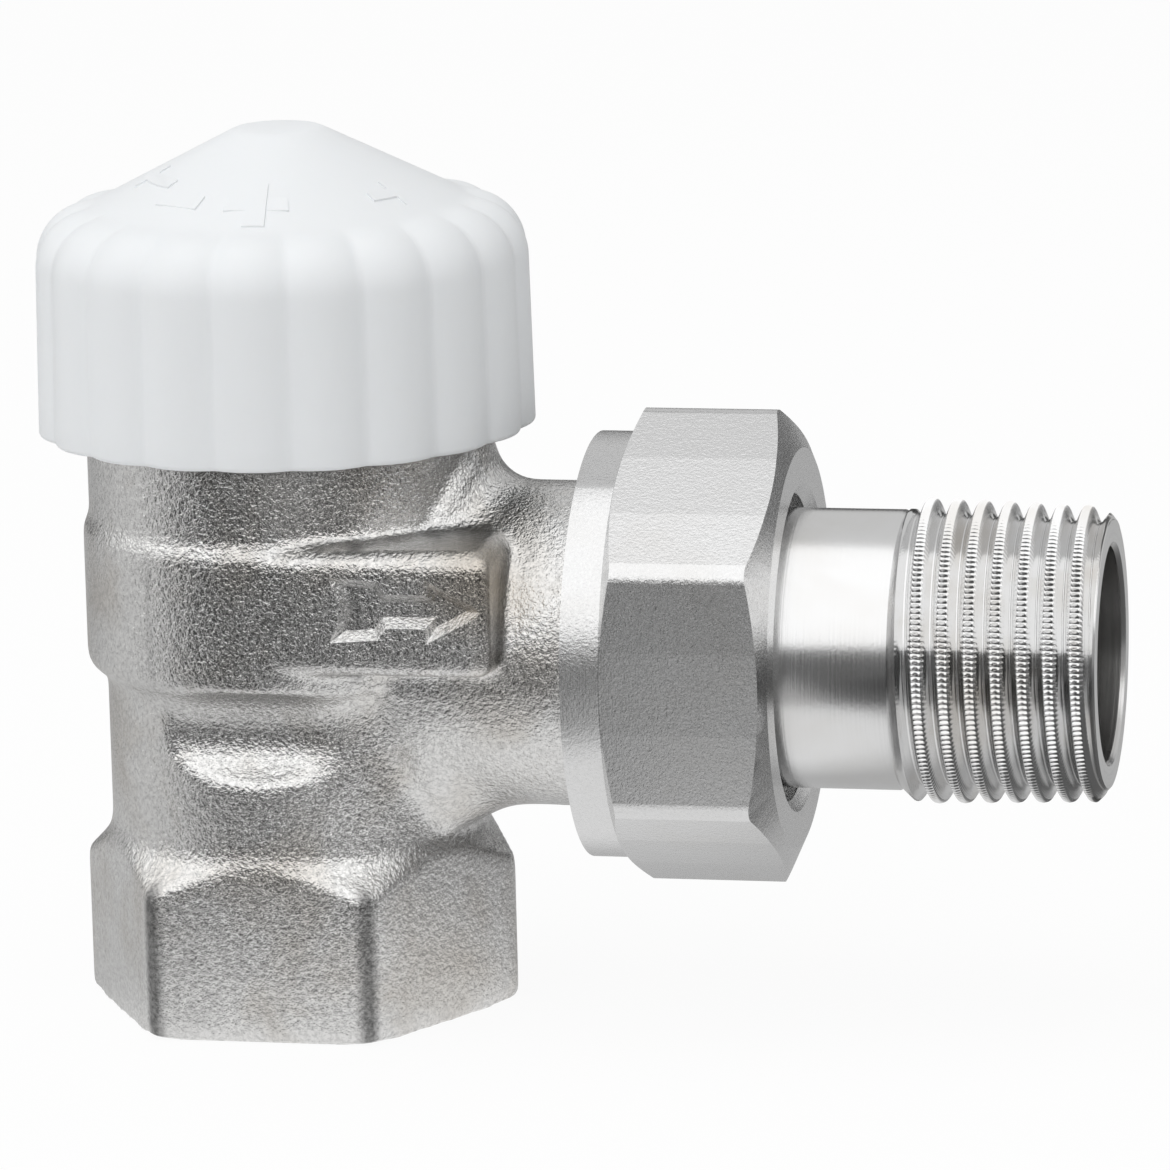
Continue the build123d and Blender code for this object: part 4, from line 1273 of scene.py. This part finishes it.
def pool(tree, below, middle, size, turn, light):
    """Table with an ellipse of another strength, from places and sizes in millimetres."""
    links = {
        "Vector": object_place(tree),
        "Location": (middle[0] * MM, middle[1] * MM, 0),
        "Rotation": (0, 0, radians(turn)),
        "Scale": (size[0] * MM, size[1] * MM, 1),
    }
    inside = add_node(tree, "ShaderNodeMapping", links, vector_type="TEXTURE").outputs[0]
    away = vectors(tree, "LENGTH", inside)["Value"]
    return blend(tree, remap(tree, away, *POOL_EDGE, 1.0, 0.0), below, light)


def reflected_studio(stage):
    """Tent and table as the metal sees them: white above, paler at the left and dark in front."""
    reach = stage.tent_r
    tree, strength, split = reflected_card("tent", arc((0, 0), reach, 0, 90, 24))
    front = maths(tree, "MULTIPLY", split["Y"], -1 / reach)
    height = maths(tree, "MULTIPLY", split["Z"], 1 / reach)
    ahead = remap(tree, front, *TENT_BACK)
    above = remap(tree, height, stage.band_sine, stage.band_sine + BAND_SOFT)
    facing = remap(tree, maths(tree, "ABSOLUTE", front), *TENT_FRONT)
    side = remap(tree, split["X"], -0.5 * reach, 0.5 * reach, stage.tent_left, stage.tent_right)
    beyond = maths(tree, "MULTIPLY_ADD", split["Y"], -LEAN, split["X"])
    past_nut = remap(tree, beyond, *TENT_TAIL, stage.tent_middle, stage.table_right)
    middle = blend(tree, remap(tree, beyond, *TENT_NUT), stage.tent_dark, past_nut)
    low = blend(tree, facing, side, middle)
    upper = remap(tree, height, *TENT_TOP, stage.tent_left, stage.tent_back)
    tree.links.new(blend(tree, above, low, blend(tree, ahead, upper, stage.tent_light)), strength)

    tree, strength, split = reflected_card("table", [(0, TABLE_H), (reach, TABLE_H)])
    front = maths(tree, "MULTIPLY", split["Y"], -1.0)
    left_edge = remap(tree, maths(tree, "MULTIPLY_ADD", split["X"], LEFT_LEAN, front), *TABLE_LEFT)
    beyond = maths(tree, "MULTIPLY_ADD", front, LEAN, split["X"])
    right_edge = remap(tree, beyond, *TABLE_NUT, 1.0, 0.0)
    past_nut = remap(tree, beyond, *TABLE_TAIL, stage.table_front, stage.table_right)
    far_right = remap(tree, split["X"], -0.1 * reach, 0.0)
    side = blend(tree, far_right, stage.tent_left, past_nut)
    behind = remap(tree, split["Y"], *TABLE_BACK)
    plain = blend(tree, behind, side, stage.table_back)
    shadow = blend(tree, maths(tree, "MULTIPLY", left_edge, right_edge), plain, stage.tent_dark)
    gap = pool(tree, shadow, *GAP_POOL, stage.gap)
    beside = pool(tree, gap, *BESIDE_POOL, stage.beside)
    under = pool(tree, beside, *UNDER_POOL, stage.under)
    tree.links.new(under, strength)


def soft_lamp(name, power, size, place, aim):
    """Square area lamp that points at an aim."""
    data = bpy.data.lights.new(name, "AREA")
    data.energy = power
    data.size = size
    lamp = new_object(name, data)
    lamp.location = place
    lamp.visible_glossy = False
    lamp.rotation_euler = (aim - Vector(place)).to_track_quat("-Z", "Y").to_euler()


def photo_camera(stage):
    """Camera at the photograph's viewing angle."""
    a, e, r = stage.azimuth, stage.elevation, stage.roll
    back = Vector((sin(a) * cos(e), -cos(a) * cos(e), sin(e)))
    level = Vector((cos(a), sin(a), 0))
    upright = back.cross(level)
    right = cos(r) * level + sin(r) * upright
    up = cos(r) * upright - sin(r) * level
    data = bpy.data.cameras.new("camera")
    data.lens = stage.lens
    data.clip_start = 10 * MM
    camera = new_object("camera", data)
    aim = Vector((stage.aim_x, 0, stage.aim_z))
    turn = Matrix((right, up, back)).transposed().to_4x4()
    camera.matrix_world = Matrix.Translation(aim + back * stage.distance) @ turn
    bpy.context.scene.camera = camera


class VALVE_OT_stage(Operator):
    """Set up the floor, light and camera"""

    bl_idname = "valve.stage"
    bl_label = "Studio"

    def execute(self, context):
        stage = context.scene.valve_stage
        context.scene.view_settings.view_transform = "Standard"
        white_world(stage)
        pale_floor(stage)
        reflected_studio(stage)
        middle = (CAD_BOX[0] + CAD_BOX[1]) / 2
        soft_lamp("top_lamp", stage.top_power, *TOP_LAMP, middle)
        soft_lamp("front_lamp", stage.front_power, *FRONT_LAMP, middle)
        photo_camera(stage)
        return {"FINISHED"}


class VALVE_PT_pieces(Panel):
    """Pieces of the valve and its studio"""

    bl_label = "Radiator valve"
    bl_space_type = "VIEW_3D"
    bl_region_type = "UI"
    bl_category = "Valve"

    def draw(self, context):
        for operator in OPERATORS:
            self.layout.operator(operator.bl_idname)
        for name in SETTINGS:
            group = getattr(context.scene, name)
            box = self.layout.box()
            for key in group.bl_rna.properties.keys():
                if key not in ("rna_type", "name"):
                    box.prop(group, key)


SETTINGS = {
    "valve_threads": ThreadSettings,
    "valve_body": BodySettings,
    "valve_cap": CapSettings,
    "valve_nut": NutSettings,
    "valve_tail": TailSettings,
    "valve_spring": SpringSettings,
    "valve_finish": FinishSettings,
    "valve_stage": StageSettings,
}
OPERATORS = (VALVE_OT_body, VALVE_OT_cap, VALVE_OT_nut, VALVE_OT_tail, VALVE_OT_insert, VALVE_OT_stage)


def register():
    """Register the settings, operators and panel."""
    for name, group in SETTINGS.items():
        bpy.utils.register_class(group)
        setattr(bpy.types.Scene, name, PointerProperty(type=group))
    for operator in OPERATORS:
        bpy.utils.register_class(operator)
    bpy.utils.register_class(VALVE_PT_pieces)


def unregister():
    """Take the panel, operators and settings away again."""
    bpy.utils.unregister_class(VALVE_PT_pieces)
    for operator in reversed(OPERATORS):
        bpy.utils.unregister_class(operator)
    for name, group in SETTINGS.items():
        delattr(bpy.types.Scene, name)
        bpy.utils.unregister_class(group)


def main():
    """Build every piece and the studio."""
    register()
    bpy.ops.valve.body()
    bpy.ops.valve.cap()
    bpy.ops.valve.nut()
    bpy.ops.valve.tail()
    bpy.ops.valve.insert()
    bpy.ops.valve.stage()


if __name__ == "__main__":
    main()
